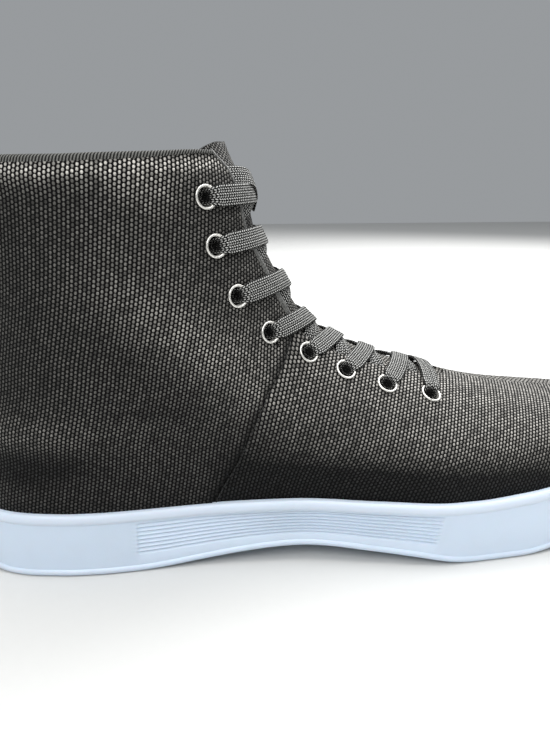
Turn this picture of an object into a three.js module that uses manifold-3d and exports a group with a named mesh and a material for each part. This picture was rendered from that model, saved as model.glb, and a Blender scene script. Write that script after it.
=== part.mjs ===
// High top sneaker, right foot: black canvas upper on a white rubber cupsole.
// Millimetres. Built from the back of the heel (x = 0) to the toe (x = LENGTH), outer side at -y, floor at z = 0.
import * as THREE from 'three';
import { mergeVertices } from 'three/addons/utils/BufferGeometryUtils.js';
import Module from 'manifold-3d';

const wasm = await Module();
wasm.setup();

// Driving dimensions
const LENGTH = 310;
const BALL_WIDTH = 102;
const SIDEWALL = 27;
const COLLAR_HEIGHT = 163;
const SHAFT_WIDTH = 73;
const HEEL_ROUND = 34;
const TOE_ROUND = 70;
const LIP = 3.2;
const WALL = 1.8;
const QUARTER_STEP = 0.8;
const CLEARANCE = 0.3;
const BINDING_HEIGHT = 3.6;
const BINDING_STEP = 0.4;
const TONGUE_THICKNESS = 2.6;
const INSOLE_THICKNESS = 4;
const EYELET_FLANGE_RADIUS = 4.7;
const EYELET_BARREL_RADIUS = 4.0;
const EYELET_BORE_RADIUS = 3.5;
const EYELET_FLANGE = 0.7;
const LACE_WIDTH = 8.2;
const LACE_THICKNESS = 1.4;
const RIB_COUNT = 8;
const RIB_GROOVE = 0.9;
const RIB_DEPTH = 0.7;
const TREAD_PITCH = 8;
const TREAD_GROOVE = 3;
const TREAD_DEPTH = 2;
const TREAD_BORDER = 9;

// Fineness of the lofts
const FORM_SECTIONS = 24;
const FORM_SIDE_POINTS = 10;
const SOLE_STATIONS = 18;
const STATION_GAP = 4;
const SLAB_STEPS = 18;
const RIBBON_STEPS = 16;
const EYELET_SIDES = 8;

// Plan of the sole: half widths as shares of the ball width, at shares of the length.
// The centre column is where the middle of the foot lies, towards the inner side at the toe.
const PLAN = [
  { at: 0.000, lateral: 0.280, medial: 0.290, centre: 0.000 },
  { at: 0.045, lateral: 0.279, medial: 0.292, centre: 0.000 },
  { at: 0.095, lateral: 0.288, medial: 0.297, centre: 0.000 },
  { at: 0.140, lateral: 0.311, medial: 0.307, centre: 0.000 },
  { at: 0.190, lateral: 0.321, medial: 0.313, centre: 0.000 },
  { at: 0.274, lateral: 0.320, medial: 0.314, centre: 0.000 },
  { at: 0.419, lateral: 0.356, medial: 0.304, centre: 0.000 },
  { at: 0.535, lateral: 0.443, medial: 0.363, centre: 0.010 },
  { at: 0.632, lateral: 0.505, medial: 0.436, centre: 0.020 },
  { at: 0.729, lateral: 0.500, medial: 0.485, centre: 0.034 },
  { at: 0.826, lateral: 0.456, medial: 0.490, centre: 0.054 },
  { at: 0.923, lateral: 0.392, medial: 0.466, centre: 0.078 },
  { at: 1.000, lateral: 0.343, medial: 0.441, centre: 0.088 },
];

// Side of the sole: heights as shares of the sidewall height.
const SIDE = [
  { at: 0.000, top: 1.010, bottom: 0.09, floor: 0.56 },
  { at: 0.058, top: 1.000, bottom: 0.00, floor: 0.52 },
  { at: 0.206, top: 0.987, bottom: 0.00, floor: 0.50 },
  { at: 0.439, top: 1.015, bottom: 0.26, floor: 0.54 },
  { at: 0.574, top: 0.996, bottom: 0.13, floor: 0.46 },
  { at: 0.661, top: 0.993, bottom: 0.00, floor: 0.40 },
  { at: 0.729, top: 1.045, bottom: 0.00, floor: 0.40 },
  { at: 0.806, top: 1.130, bottom: 0.10, floor: 0.50 },
  { at: 1.000, top: 1.474, bottom: 0.50, floor: 0.92 },
];

// Back of the heel and shaft: how far it lies from the back of the sole, at shares of the collar height.
const BACK = [
  { up: -0.10, in: 0.0106, round: 0.100 },
  { up: 0.16, in: 0.0106, round: 0.102 },
  { up: 0.30, in: 0.0140, round: 0.115 },
  { up: 0.50, in: 0.0290, round: 0.138 },
  { up: 0.70, in: 0.0380, round: 0.160 },
  { up: 0.88, in: 0.0340, round: 0.168 },
  { up: 1.10, in: 0.0290, round: 0.168 },
];

// Sections through the upper, from the collar to the toe. Each runs in the side view from a point of the
// ridge (front, top) to a point of the back or the base; lengths are shares of the length and collar height.
// crown is the depth below the ridge where the section has its full width, fullness its roundness.
const SECTIONS = [
  { ridgeAt: 0.3448, ridgeUp: 1.092, baseAt: 0.0290, baseUp: 1.092, crown: 0.161, fullness: 2.0 },
  { ridgeAt: 0.3584, ridgeUp: 1.012, baseAt: 0.0315, baseUp: 1.000, crown: 0.161, fullness: 2.0 },
  { ridgeAt: 0.3806, ridgeUp: 0.920, baseAt: 0.0340, baseUp: 0.877, crown: 0.161, fullness: 2.0 },
  { ridgeAt: 0.3913, ridgeUp: 0.828, baseAt: 0.0380, baseUp: 0.724, crown: 0.166, fullness: 2.0 },
  { ridgeAt: 0.4126, ridgeUp: 0.748, baseAt: 0.0330, baseUp: 0.564, crown: 0.179, fullness: 1.9 },
  { ridgeAt: 0.4339, ridgeUp: 0.675, baseAt: 0.0215, baseUp: 0.405, crown: 0.194, fullness: 1.85 },
  { ridgeAt: 0.4581, ridgeUp: 0.607, baseAt: 0.0120, baseUp: 0.233, crown: 0.203, fullness: 1.8 },
  { ridgeAt: 0.4871, ridgeUp: 0.561, baseAt: 0.0106, baseUp: 0.049, crown: 0.208, fullness: 1.8 },
  { ridgeAt: 0.5258, ridgeUp: 0.521, baseAt: 0.0903, baseUp: -0.061, crown: 0.198, fullness: 1.85 },
  { ridgeAt: 0.5674, ridgeUp: 0.488, baseAt: 0.2258, baseUp: -0.061, crown: 0.184, fullness: 1.9 },
  { ridgeAt: 0.6226, ridgeUp: 0.457, baseAt: 0.3710, baseUp: -0.061, crown: 0.165, fullness: 1.9 },
  { ridgeAt: 0.6874, ridgeUp: 0.416, baseAt: 0.5326, baseUp: -0.061, crown: 0.140, fullness: 2.0 },
  { ridgeAt: 0.7677, ridgeUp: 0.379, baseAt: 0.6932, baseUp: -0.061, crown: 0.111, fullness: 2.25 },
  { ridgeAt: 0.8384, ridgeUp: 0.358, baseAt: 0.8229, baseUp: -0.061, crown: 0.087, fullness: 2.35 },
  { ridgeAt: 0.9032, ridgeUp: 0.344, baseAt: 0.9032, baseUp: -0.061, crown: 0.070, fullness: 2.35 },
  { ridgeAt: 0.9487, ridgeUp: 0.328, baseAt: 0.9516, baseUp: -0.061, crown: 0.056, fullness: 2.3 },
  { ridgeAt: 0.9777, ridgeUp: 0.298, baseAt: 0.9787, baseUp: -0.061, crown: 0.043, fullness: 2.2 },
  { ridgeAt: 0.9894, ridgeUp: 0.255, baseAt: 0.9894, baseUp: -0.061, crown: 0.029, fullness: 2.0 },
];

// Outside of the sole's wall from the bottom edge up: inset from the outline, and height above the bottom
// edge or below the top edge. A bead runs along the bottom and a rounded lip along the top.
const SIDEWALL_PROFILE = [
  { inset: 2.0, from: 'bottom', rise: 0.0 },
  { inset: 0.5, from: 'bottom', rise: 0.6 },
  { inset: 0.0, from: 'bottom', rise: 1.7 },
  { inset: 0.8, from: 'bottom', rise: 3.0 },
  { inset: 0.8, from: 'top', rise: -4.4 },
  { inset: 0.1, from: 'top', rise: -3.6 },
  { inset: 0.0, from: 'top', rise: -1.9 },
  { inset: 0.5, from: 'top', rise: -0.5 },
  { inset: 1.4, from: 'top', rise: 0.0 },
];
const WALL_INSET = 0.8;

// Ribbed panel on each side of the sole: its ends as shares of the length, its edges as shares of the
// height between the bottom and the top of the wall.
const RIB_PANEL = { rear: 0.218, front: 0.611, low: 0.31, high: 0.78 };

// Bands of tread: their ends as shares of the length.
const TREAD_BANDS = [
  { from: 0.05, to: 0.09 },
  { from: 0.175, to: 0.32 },
  { from: 0.545, to: 0.66 },
  { from: 0.745, to: 0.90 },
];

// Top edge of the collar, seen from the side, and how high the binding is there as a share of its height.
const RIM = [
  { at: -0.065, up: 0.984, binding: 1.0 },
  { at: 0.148, up: 0.985, binding: 1.0 },
  { at: 0.206, up: 0.989, binding: 0.85 },
  { at: 0.265, up: 0.994, binding: 0.6 },
  { at: 0.313, up: 1.000, binding: 0.45 },
  { at: 0.516, up: 1.004, binding: 0.45 },
];

// Seam between the rear quarter and the vamp, seen from the side.
const SEAM = [
  { at: 0.286, up: -0.06 },
  { at: 0.313, up: 0.155 },
  { at: 0.350, up: 0.285 },
  { at: 0.366, up: 0.356 },
  { at: 0.389, up: 0.443 },
  { at: 0.407, up: 0.493 },
  { at: 0.421, up: 0.548 },
  { at: 0.444, up: 0.640 },
  { at: 0.477, up: 0.760 },
];

// Throat and tongue: half widths as shares of the shaft width, at section numbers along the ridge.
const THROAT = [
  { section: -0.5, half: 0.36 },
  { section: 1.1, half: 0.31 },
  { section: 1.6, half: 0.265 },
  { section: 3.0, half: 0.255 },
  { section: 4.0, half: 0.23 },
  { section: 6.0, half: 0.208 },
  { section: 8.0, half: 0.195 },
  { section: 9.6, half: 0.18 },
  { section: 10.3, half: 0.145 },
  { section: 10.65, half: 0.09 },
  { section: 10.78, half: 0.03 },
];
const TONGUE = [
  { section: 0.76, half: 0.07 },
  { section: 0.80, half: 0.18 },
  { section: 0.92, half: 0.27 },
  { section: 1.10, half: 0.33 },
  { section: 2.0, half: 0.38 },
  { section: 5.0, half: 0.36 },
  { section: 9.0, half: 0.31 },
  { section: 11.3, half: 0.26 },
];

// Eyelets from the top down: section number and depth below the ridge as a share of the length.
const EYELETS = [
  { section: 2.12, depth: 0.065 },
  { section: 3.15, depth: 0.067 },
  { section: 4.42, depth: 0.071 },
  { section: 5.68, depth: 0.059 },
  { section: 6.98, depth: 0.041 },
  { section: 8.15, depth: 0.037 },
  { section: 9.33, depth: 0.034 },
  { section: 10.29, depth: 0.029 },
];

// How far towards the next eyelet each crossing has run where it passes the ridge; the last is a plain bar.
const CROSSINGS = [0.02, 0.10, 0.25, 0.42, 0.40, 0.40, 0.36, 0.0];
const CROSSING_TUCK = 1.0;

// Section where the lace's folded end comes up to the front corner of the near quarter.
const LACE_FOLD = 1.35;

// A smooth curve through one column of a table that never overshoots its rows.
function columnCurve(rows, key, column) {
  const xs = rows.map((row) => row[key]);
  const ys = rows.map((row) => row[column]);
  const steps = xs.slice(1).map((x, i) => (ys[i + 1] - ys[i]) / (x - xs[i]));
  const slopes = xs.map((x, i) => {
    if (i === 0 || i === xs.length - 1) return 0;
    const before = steps[i - 1];
    const after = steps[i];
    return before * after <= 0 ? 0 : (2 * before * after) / (before + after);
  });
  slopes[0] = steps[0];
  slopes[xs.length - 1] = steps[steps.length - 1];
  return (x) => {
    const inside = Math.min(Math.max(x, xs[0]), xs[xs.length - 1]);
    let i = xs.findIndex((edge, k) => k > 0 && inside <= edge) - 1;
    i = Math.max(i, 0);
    const span = xs[i + 1] - xs[i];
    const t = (inside - xs[i]) / span;
    const t2 = t * t;
    const t3 = t2 * t;
    return (2 * t3 - 3 * t2 + 1) * ys[i] + (t3 - 2 * t2 + t) * span * slopes[i]
      + (-2 * t3 + 3 * t2) * ys[i + 1] + (t3 - t2) * span * slopes[i + 1];
  };
}

const planCurve = {
  lateral: columnCurve(PLAN, 'at', 'lateral'),
  medial: columnCurve(PLAN, 'at', 'medial'),
  centre: columnCurve(PLAN, 'at', 'centre'),
};
const sideCurve = {
  top: columnCurve(SIDE, 'at', 'top'),
  bottom: columnCurve(SIDE, 'at', 'bottom'),
  floor: columnCurve(SIDE, 'at', 'floor'),
};
const backCurve = {
  in: columnCurve(BACK, 'up', 'in'),
  round: columnCurve(BACK, 'up', 'round'),
};

const sideHeight = (line, x) => sideCurve[line](x / LENGTH) * SIDEWALL;

// Roundness of an end: 0 at the edge, 1 once the distance in reaches the radius.
function rounded(distance, radius, fullness) {
  const left = 1 - Math.min(Math.max(distance / radius, 0), 1);
  return Math.pow(1 - Math.pow(left, fullness), 1 / fullness);
}

// Plan of the foot at x, a given inset inside the sole's outline: centre line and the half width each side.
function planAt(x, inset) {
  const at = x / LENGTH;
  const ends = rounded(x - inset, HEEL_ROUND - inset, 2) * rounded(LENGTH - inset - x, TOE_ROUND - inset, 2.2);
  const centre = planCurve.centre(at) * BALL_WIDTH;
  return {
    centre,
    lateral: planCurve.lateral(at) * BALL_WIDTH - inset + centre,
    medial: planCurve.medial(at) * BALL_WIDTH - inset - centre,
    ends,
  };
}

const mix = (a, b, t) => a + (b - a) * t;

function smooth(from, to, value) {
  const t = Math.min(Math.max((value - from) / (to - from), 0), 1);
  return t * t * (3 - 2 * t);
}

// Outer form of the upper at one point of a section, as the lateral and medial y there.
function formAt(section, share) {
  const x = mix(section.ridgeX, section.baseX, share);
  const z = mix(section.ridgeZ, section.baseZ, share);
  const plan = planAt(x, LIP);
  const shaft = smooth(SIDEWALL, 0.7 * COLLAR_HEIGHT, z);
  const up = z / COLLAR_HEIGHT;
  const back = rounded(x - backCurve.in(up) * LENGTH, backCurve.round(up) * LENGTH, 2);
  const toe = rounded(LENGTH - LIP - x, TOE_ROUND - LIP, 2.2);
  const depth = Math.hypot(x - section.ridgeX, z - section.ridgeZ);
  const crown = rounded(depth, section.crown * LENGTH, section.fullness);
  const width = back * toe * crown;
  const centre = plan.centre * (1 - shaft);
  return {
    x,
    z,
    centre,
    lateral: centre - mix(plan.lateral, SHAFT_WIDTH / 2, shaft) * width,
    medial: centre + mix(plan.medial, SHAFT_WIDTH / 2, shaft) * width,
  };
}

const sectionKeys = ['ridgeAt', 'ridgeUp', 'baseAt', 'baseUp', 'crown', 'fullness'];
const numberedSections = SECTIONS.map((row, number) => ({ ...row, number }));
const sectionCurve = Object.fromEntries(
  sectionKeys.map((key) => [key, columnCurve(numberedSections, 'number', key)]),
);

function sectionAt(number) {
  const row = Object.fromEntries(sectionKeys.map((key) => [key, sectionCurve[key](number)]));
  return {
    ...row,
    ridgeX: row.ridgeAt * LENGTH,
    ridgeZ: row.ridgeUp * COLLAR_HEIGHT,
    baseX: row.baseAt * LENGTH,
    baseZ: row.baseUp * COLLAR_HEIGHT,
  };
}

// Height of the collar's top edge, and of the lower edge of its binding.
const rimCurve = {
  up: columnCurve(RIM, 'at', 'up'),
  binding: columnCurve(RIM, 'at', 'binding'),
};
const rimTop = (x) => rimCurve.up(x / LENGTH) * COLLAR_HEIGHT;
const rimFoot = (x) => rimTop(x) - rimCurve.binding(x / LENGTH) * BINDING_HEIGHT;
const footbed = (x) => sideHeight('floor', x);

// Triangles of a tube through rings of points, closed at both ends by flat fans.
function tube(rings) {
  const count = rings[0].length;
  const positions = [];
  for (const ring of rings) for (const point of ring) positions.push(point[0], point[1], point[2]);
  const index = [];
  for (let i = 0; i + 1 < rings.length; i += 1) {
    for (let j = 0; j < count; j += 1) {
      const a = i * count + j;
      const b = i * count + ((j + 1) % count);
      const c = a + count;
      const d = b + count;
      index.push(a, b, d, a, d, c);
    }
  }
  const ladder = (start, flip) => {
    for (let j = 0; j < count / 2 - 1; j += 1) {
      const a = start + j;
      const b = start + j + 1;
      const c = start + count - 1 - j;
      const d = start + count - 2 - j;
      index.push(...(flip ? [a, b, d, a, d, c] : [a, d, b, a, c, d]));
    }
  };
  ladder(0, false);
  ladder((rings.length - 1) * count, true);
  const geometry = new THREE.BufferGeometry();
  geometry.setAttribute('position', new THREE.Float32BufferAttribute(positions, 3));
  geometry.setIndex(index);
  return cleaned(geometry);
}

// The same surface with shared vertices, no flat triangles and its faces turned out.
function cleaned(geometry) {
  const merged = mergeVertices(geometry, 1e-4);
  const index = Array.from(merged.index.array);
  const position = merged.attributes.position;
  const corner = (i) => new THREE.Vector3().fromBufferAttribute(position, i);
  const kept = [];
  let volume = 0;
  for (let i = 0; i < index.length; i += 3) {
    const [a, b, c] = index.slice(i, i + 3);
    if (a !== b && b !== c && c !== a) {
      kept.push(a, b, c);
      volume += corner(a).dot(corner(b).cross(corner(c)));
    }
  }
  merged.setIndex(volume < 0 ? kept.reverse() : kept);
  return merged;
}

function solidOf(geometry) {
  const vertProperties = new Float32Array(geometry.attributes.position.array);
  const triVerts = new Uint32Array(geometry.index.array);
  const mesh = new wasm.Mesh({ numProp: 3, vertProperties, triVerts });
  mesh.merge();
  return new wasm.Manifold(mesh);
}

// The upper's form, moved out (or in, if negative) along its normals.
function upperForm(offset) {
  const rings = [];
  for (let i = 0; i <= FORM_SECTIONS; i += 1) {
    const section = sectionAt((i / FORM_SECTIONS) * (SECTIONS.length - 1));
    const lateral = [];
    const medial = [];
    for (let j = 0; j <= FORM_SIDE_POINTS; j += 1) {
      const share = (1 - Math.cos((Math.PI * j) / FORM_SIDE_POINTS)) / 2;
      const point = formAt(section, share);
      lateral.push([point.x, point.lateral, point.z]);
      medial.push([point.x, point.medial, point.z]);
    }
    rings.push([...lateral, ...medial.reverse()]);
  }
  const geometry = tube(rings);
  geometry.computeVertexNormals();
  const position = geometry.attributes.position;
  const normal = geometry.attributes.normal;
  for (let i = 0; i < position.count; i += 1) {
    position.setXYZ(
      i,
      position.getX(i) + offset * normal.getX(i),
      position.getY(i) + offset * normal.getY(i),
      position.getZ(i) + offset * normal.getZ(i),
    );
  }
  return solidOf(geometry);
}

// A block between two heights that change along the length, through the whole width.
function slab(low, high) {
  const reach = BALL_WIDTH;
  const rings = [];
  for (let i = 0; i <= SLAB_STEPS; i += 1) {
    const x = mix(-0.1 * LENGTH, 1.1 * LENGTH, i / SLAB_STEPS);
    rings.push([
      [x, -reach, high(x)],
      [x, reach, high(x)],
      [x, reach, low(x)],
      [x, -reach, low(x)],
    ]);
  }
  return solidOf(tube(rings));
}

// A block that follows the ridge, as wide as the rows say, from below the ridge to above it.
function ribbon(rows, below, above) {
  const half = columnCurve(rows, 'section', 'half');
  const first = rows[0].section;
  const last = rows[rows.length - 1].section;
  const rings = [];
  for (let i = 0; i <= RIBBON_STEPS; i += 1) {
    const t = i / RIBBON_STEPS;
    const number = mix(first, last, t);
    const { point, out } = ridgeFrame(number);
    const width = half(number) * SHAFT_WIDTH;
    const at = (depth, y) => [point.x + depth * out.x, y, point.z + depth * out.z];
    rings.push([at(-below, -width), at(above, -width), at(above, width), at(-below, width)]);
  }
  return solidOf(tube(rings));
}

// A block of a side-view outline, from one y to another.
function sideBlock(outline, fromY, toY) {
  const shape = new THREE.Shape(outline.map(([x, z]) => new THREE.Vector2(x, z)));
  const geometry = new THREE.ExtrudeGeometry(shape, { depth: toY - fromY, bevelEnabled: false });
  geometry.rotateX(Math.PI / 2);
  geometry.translate(0, toY, 0);
  geometry.deleteAttribute('normal');
  geometry.deleteAttribute('uv');
  return solidOf(cleaned(geometry));
}

// Region behind the vamp seam, moved forward by a margin.
function quarterRegion(margin) {
  const seamCurve = columnCurve(SEAM, 'up', 'at');
  const seam = [];
  const lowest = SEAM[0].up;
  const highest = SEAM[SEAM.length - 1].up;
  const steps = 2 * SEAM.length;
  for (let i = 0; i <= steps; i += 1) {
    const up = mix(lowest, highest, i / steps);
    seam.push([seamCurve(up) * LENGTH + margin, up * COLLAR_HEIGHT]);
  }
  const top = 1.2 * COLLAR_HEIGHT;
  const behind = -0.1 * LENGTH;
  const outline = [[behind, lowest * COLLAR_HEIGHT], ...seam, [0.6 * LENGTH, top], [behind, top]];
  return sideBlock(outline, -BALL_WIDTH, BALL_WIDTH);
}

// Sole outline at x on one side, a given inset inside it.
function outlineAt(x, side, inset) {
  const plan = planAt(x, inset);
  return side === 'lateral'
    ? plan.centre - plan.lateral * plan.ends
    : plan.centre + plan.medial * plan.ends;
}

// Where a point of the surface of the upper lies: its place and its outward normal, on one side.
function surfaceAt(number, depth, side) {
  const place = (n, d) => {
    const section = sectionAt(n);
    const length = Math.hypot(section.baseX - section.ridgeX, section.baseZ - section.ridgeZ);
    const point = formAt(section, d / length);
    return new THREE.Vector3(point.x, point[side], point.z);
  };
  const nudge = 0.02;
  const along = place(number + nudge, depth).sub(place(number - nudge, depth));
  const down = place(number, depth + 1).sub(place(number, depth - 1));
  const normal = side === 'lateral' ? down.cross(along) : along.cross(down);
  return { place: place(number, depth), normal: normal.normalize() };
}

// Which parts of the ridge and the wall carry each pair of eyelets.
const eyeletSeats = EYELETS.flatMap((row, i) => ['lateral', 'medial'].map((side) => {
  const spot = surfaceAt(row.section, row.depth * LENGTH, side);
  const onQuarter = i < EYELETS.length / 2;
  return { name: `eyelet_${side}_${i + 1}`, ...spot, rise: onQuarter ? QUARTER_STEP : 0 };
}));

// Turns a geometry made along +y so that +y follows the seat's normal, at the seat.
function seated(geometry, seat) {
  const turn = new THREE.Quaternion().setFromUnitVectors(new THREE.Vector3(0, 1, 0), seat.normal);
  geometry.applyQuaternion(turn);
  geometry.translate(seat.place.x, seat.place.y, seat.place.z);
  return geometry;
}

function eyeletHole(seat) {
  const corner = Math.cos(Math.PI / EYELET_SIDES);
  const radius = (EYELET_BARREL_RADIUS + CLEARANCE) / corner;
  const geometry = new THREE.CylinderGeometry(radius, radius, 12, EYELET_SIDES);
  geometry.deleteAttribute('normal');
  geometry.deleteAttribute('uv');
  return solidOf(cleaned(seated(geometry, seat)));
}

// Room that the lace leaves round the flange of an eyelet.
function eyeletRoom(seat) {
  const corner = Math.cos(Math.PI / EYELET_SIDES);
  const radius = (EYELET_FLANGE_RADIUS + CLEARANCE) / corner;
  const top = seat.rise + EYELET_FLANGE + 2 * CLEARANCE;
  const geometry = new THREE.CylinderGeometry(radius, radius, 2 * top, EYELET_SIDES);
  geometry.deleteAttribute('normal');
  geometry.deleteAttribute('uv');
  return solidOf(cleaned(seated(geometry, seat)));
}

function eyeletGeometry(seat) {
  const inside = -WALL - CLEARANCE;
  const seatHeight = seat.rise + CLEARANCE;
  const top = seatHeight + EYELET_FLANGE;
  const profile = [
    [EYELET_BORE_RADIUS, inside],
    [EYELET_BARREL_RADIUS, inside],
    [EYELET_BARREL_RADIUS, seatHeight],
    [EYELET_FLANGE_RADIUS, seatHeight],
    [EYELET_FLANGE_RADIUS, top],
    [EYELET_BORE_RADIUS, top],
    [EYELET_BORE_RADIUS, inside],
  ].map(([radius, height]) => new THREE.Vector2(radius, height));
  const geometry = new THREE.LatheGeometry(profile, EYELET_SIDES);
  geometry.deleteAttribute('normal');
  geometry.deleteAttribute('uv');
  return cleaned(seated(geometry, seat));
}

// Places along the sole: the rows of its side, and others between, closer together at the round ends.
const sidePlaces = SIDE.map((row) => row.at * LENGTH);
const spreadPlaces = Array.from({ length: SOLE_STATIONS + 1 }, (_, i) => (
  (LENGTH * (1 - Math.cos((Math.PI * i) / SOLE_STATIONS))) / 2
));
const soleStations = spreadPlaces
  .filter((x) => sidePlaces.every((place) => Math.abs(place - x) > STATION_GAP))
  .concat(sidePlaces)
  .sort((a, b) => a - b);

// Cupsole: a block with the outline and sidewall profile, less the hollow that holds the upper.
function cupsole() {
  const rings = SIDEWALL_PROFILE.map(({ inset, from, rise }) => {
    const ringSide = (side) => soleStations.map((station) => {
      const x = mix(inset, LENGTH - inset, station / LENGTH);
      return [x, outlineAt(x, side, inset), sideHeight(from, x) + rise];
    });
    return [...ringSide('lateral'), ...ringSide('medial').reverse()];
  });
  let sole = solidOf(tube(rings));
  const hollow = upperForm(CLEARANCE).add(upperForm(QUARTER_STEP + CLEARANCE).intersect(quarterRegion(CLEARANCE)));
  sole = sole.subtract(hollow.intersect(slab(footbed, () => COLLAR_HEIGHT)));
  for (const side of ['lateral', 'medial']) {
    for (let i = 0; i < RIB_COUNT; i += 1) sole = sole.subtract(ribGroove(side, i));
  }
  for (const band of TREAD_BANDS) {
    for (let x = band.from * LENGTH; x <= band.to * LENGTH; x += TREAD_PITCH) sole = sole.subtract(treadGroove(x));
  }
  return sole;
}

// One groove of the ribbed panel, a V cut along the wall.
function ribGroove(side, number) {
  const share = mix(RIB_PANEL.low, RIB_PANEL.high, number / (RIB_COUNT - 1));
  const out = side === 'lateral' ? -1 : 1;
  const rear = RIB_PANEL.rear * LENGTH;
  const front = RIB_PANEL.front * LENGTH;
  const between = soleStations.filter((x) => x > rear + STATION_GAP && x < front - STATION_GAP);
  const rings = [rear, ...between, front].map((x) => {
    const z = mix(sideHeight('bottom', x), sideHeight('top', x), share);
    const wall = outlineAt(x, side, WALL_INSET);
    return [
      [x, wall - out * RIB_DEPTH, z],
      [x, wall - out * RIB_DEPTH, z],
      [x, wall + out * RIB_DEPTH, z + RIB_GROOVE],
      [x, wall + out * RIB_DEPTH, z - RIB_GROOVE],
    ];
  });
  return solidOf(tube(rings));
}

// One cross groove of the tread, clear of the border.
function treadGroove(x) {
  const from = outlineAt(x, 'lateral', TREAD_BORDER);
  const to = outlineAt(x, 'medial', TREAD_BORDER);
  const depth = 2 * TREAD_DEPTH;
  const geometry = new THREE.BoxGeometry(TREAD_GROOVE, to - from, depth);
  geometry.translate(x, (from + to) / 2, sideHeight('bottom', x) + TREAD_DEPTH - depth / 2);
  geometry.deleteAttribute('normal');
  geometry.deleteAttribute('uv');
  return solidOf(cleaned(geometry));
}

// Upper: one wall between two forms, its rear quarters a step thicker, open at collar, throat and underneath.
function upper() {
  const outside = upperForm(0).add(upperForm(QUARTER_STEP).intersect(quarterRegion(0)));
  const room = slab((x) => footbed(x) + CLEARANCE, (x) => rimFoot(x) - CLEARANCE);
  let wall = outside.subtract(upperForm(-WALL)).intersect(room);
  wall = wall.subtract(ribbon(THROAT, 0.5 * SHAFT_WIDTH, 0.3 * SHAFT_WIDTH));
  for (const seat of eyeletSeats) wall = wall.subtract(eyeletHole(seat));
  return wall;
}

function collarBinding() {
  const shell = upperForm(QUARTER_STEP + BINDING_STEP).subtract(upperForm(-WALL - BINDING_STEP));
  return shell.intersect(slab(rimFoot, rimTop)).subtract(ribbon(THROAT, 0.5 * SHAFT_WIDTH, 0.3 * SHAFT_WIDTH));
}

function tongue() {
  const face = WALL + 2 * CLEARANCE;
  const shell = upperForm(-face).subtract(upperForm(-face - TONGUE_THICKNESS));
  return shell.intersect(ribbon(TONGUE, 0.45 * SHAFT_WIDTH, 0.3 * SHAFT_WIDTH));
}

function insole() {
  const bottom = (x) => footbed(x) + CLEARANCE;
  return upperForm(-WALL - CLEARANCE).intersect(slab(bottom, (x) => bottom(x) + INSOLE_THICKNESS));
}

// The ridge at a section number: its point, and the directions along it and out of it, in the side view.
function ridgeFrame(number) {
  const section = sectionAt(number);
  const next = sectionAt(number + 0.05);
  const before = sectionAt(number - 0.05);
  const along = new THREE.Vector3(next.ridgeX - before.ridgeX, 0, next.ridgeZ - before.ridgeZ).normalize();
  const out = new THREE.Vector3(-along.z, 0, along.x);
  return { point: new THREE.Vector3(section.ridgeX, 0, section.ridgeZ), along, out };
}

// A strip of lace between two points, cut straight through in the direction out of the ridge.
function laceStrip(frame, start, end) {
  const flat = (point) => {
    const from = point.clone().sub(frame.point);
    return new THREE.Vector2(from.y, from.dot(frame.along));
  };
  const first = flat(start);
  const last = flat(end);
  const along = last.clone().sub(first).normalize();
  const across = new THREE.Vector2(-along.y, along.x).multiplyScalar(LACE_WIDTH / 2);
  const reach = last.clone().addScaledVector(along, LACE_WIDTH / 4);
  const shape = new THREE.Shape([
    first.clone().add(across),
    first.clone().sub(across),
    reach.clone().sub(across),
    reach.clone().add(across),
  ]);
  const depth = 0.7 * SHAFT_WIDTH;
  const geometry = new THREE.ExtrudeGeometry(shape, { depth, bevelEnabled: false });
  geometry.translate(0, 0, -0.75 * depth);
  const side = new THREE.Vector3(0, 1, 0);
  geometry.applyMatrix4(new THREE.Matrix4().makeBasis(side, frame.along, frame.out));
  geometry.translate(frame.point.x, 0, frame.point.z);
  geometry.deleteAttribute('normal');
  geometry.deleteAttribute('uv');
  return solidOf(cleaned(geometry));
}

// Where the edge of the throat lies at a section number, on one side.
function throatPoint(number, side) {
  const section = sectionAt(number);
  const half = columnCurve(THROAT, 'section', 'half')(number) * SHAFT_WIDTH;
  const length = Math.hypot(section.baseX - section.ridgeX, section.baseZ - section.ridgeZ);
  let depth = 0;
  while (depth < length && Math.abs(formAt(section, depth / length)[side]) < half) depth += 0.25;
  const point = formAt(section, depth / length);
  return new THREE.Vector3(point.x, point[side], point.z);
}

// Lace: crossings between two forms over the eyelets, joined into one solid.
function lace() {
  const sides = ['lateral', 'medial'];
  const rows = EYELETS.map((row, i) => {
    const next = EYELETS[i + 1] ?? row;
    const pitch = next.section - row.section;
    const frame = ridgeFrame(row.section + CROSSINGS[i] * pitch);
    const strips = sides.flatMap((side) => {
      const seat = surfaceAt(row.section, row.depth * LENGTH, side).place;
      const pieces = [laceStrip(frame, seat, frame.point)];
      if (pitch > 0) pieces.push(laceStrip(frame, throatPoint(row.section + CROSSING_TUCK * pitch, side), frame.point));
      return pieces;
    });
    if (i === 0) strips.push(laceStrip(frame, throatPoint(LACE_FOLD, 'lateral'), frame.point));
    const rise = i < EYELETS.length / 2 ? QUARTER_STEP : 0;
    const seatHeight = rise + EYELET_FLANGE + 2 * CLEARANCE;
    const shell = upperForm(seatHeight + LACE_THICKNESS).subtract(upperForm(seatHeight));
    return strips.reduce((all, strip) => all.add(strip)).intersect(shell);
  });
  const joined = rows.reduce((all, row) => all.add(row));
  return eyeletSeats.reduce((rest, seat) => rest.subtract(eyeletRoom(seat)), joined);
}

// A mesh with its own material from a solid.
function meshOf(name, solid, material) {
  const { vertProperties, triVerts } = solid.getMesh();
  const geometry = new THREE.BufferGeometry();
  geometry.setAttribute('position', new THREE.Float32BufferAttribute(Float32Array.from(vertProperties), 3));
  geometry.setIndex(Array.from(triVerts));
  const mesh = new THREE.Mesh(geometry, material);
  mesh.name = name;
  return mesh;
}

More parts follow.
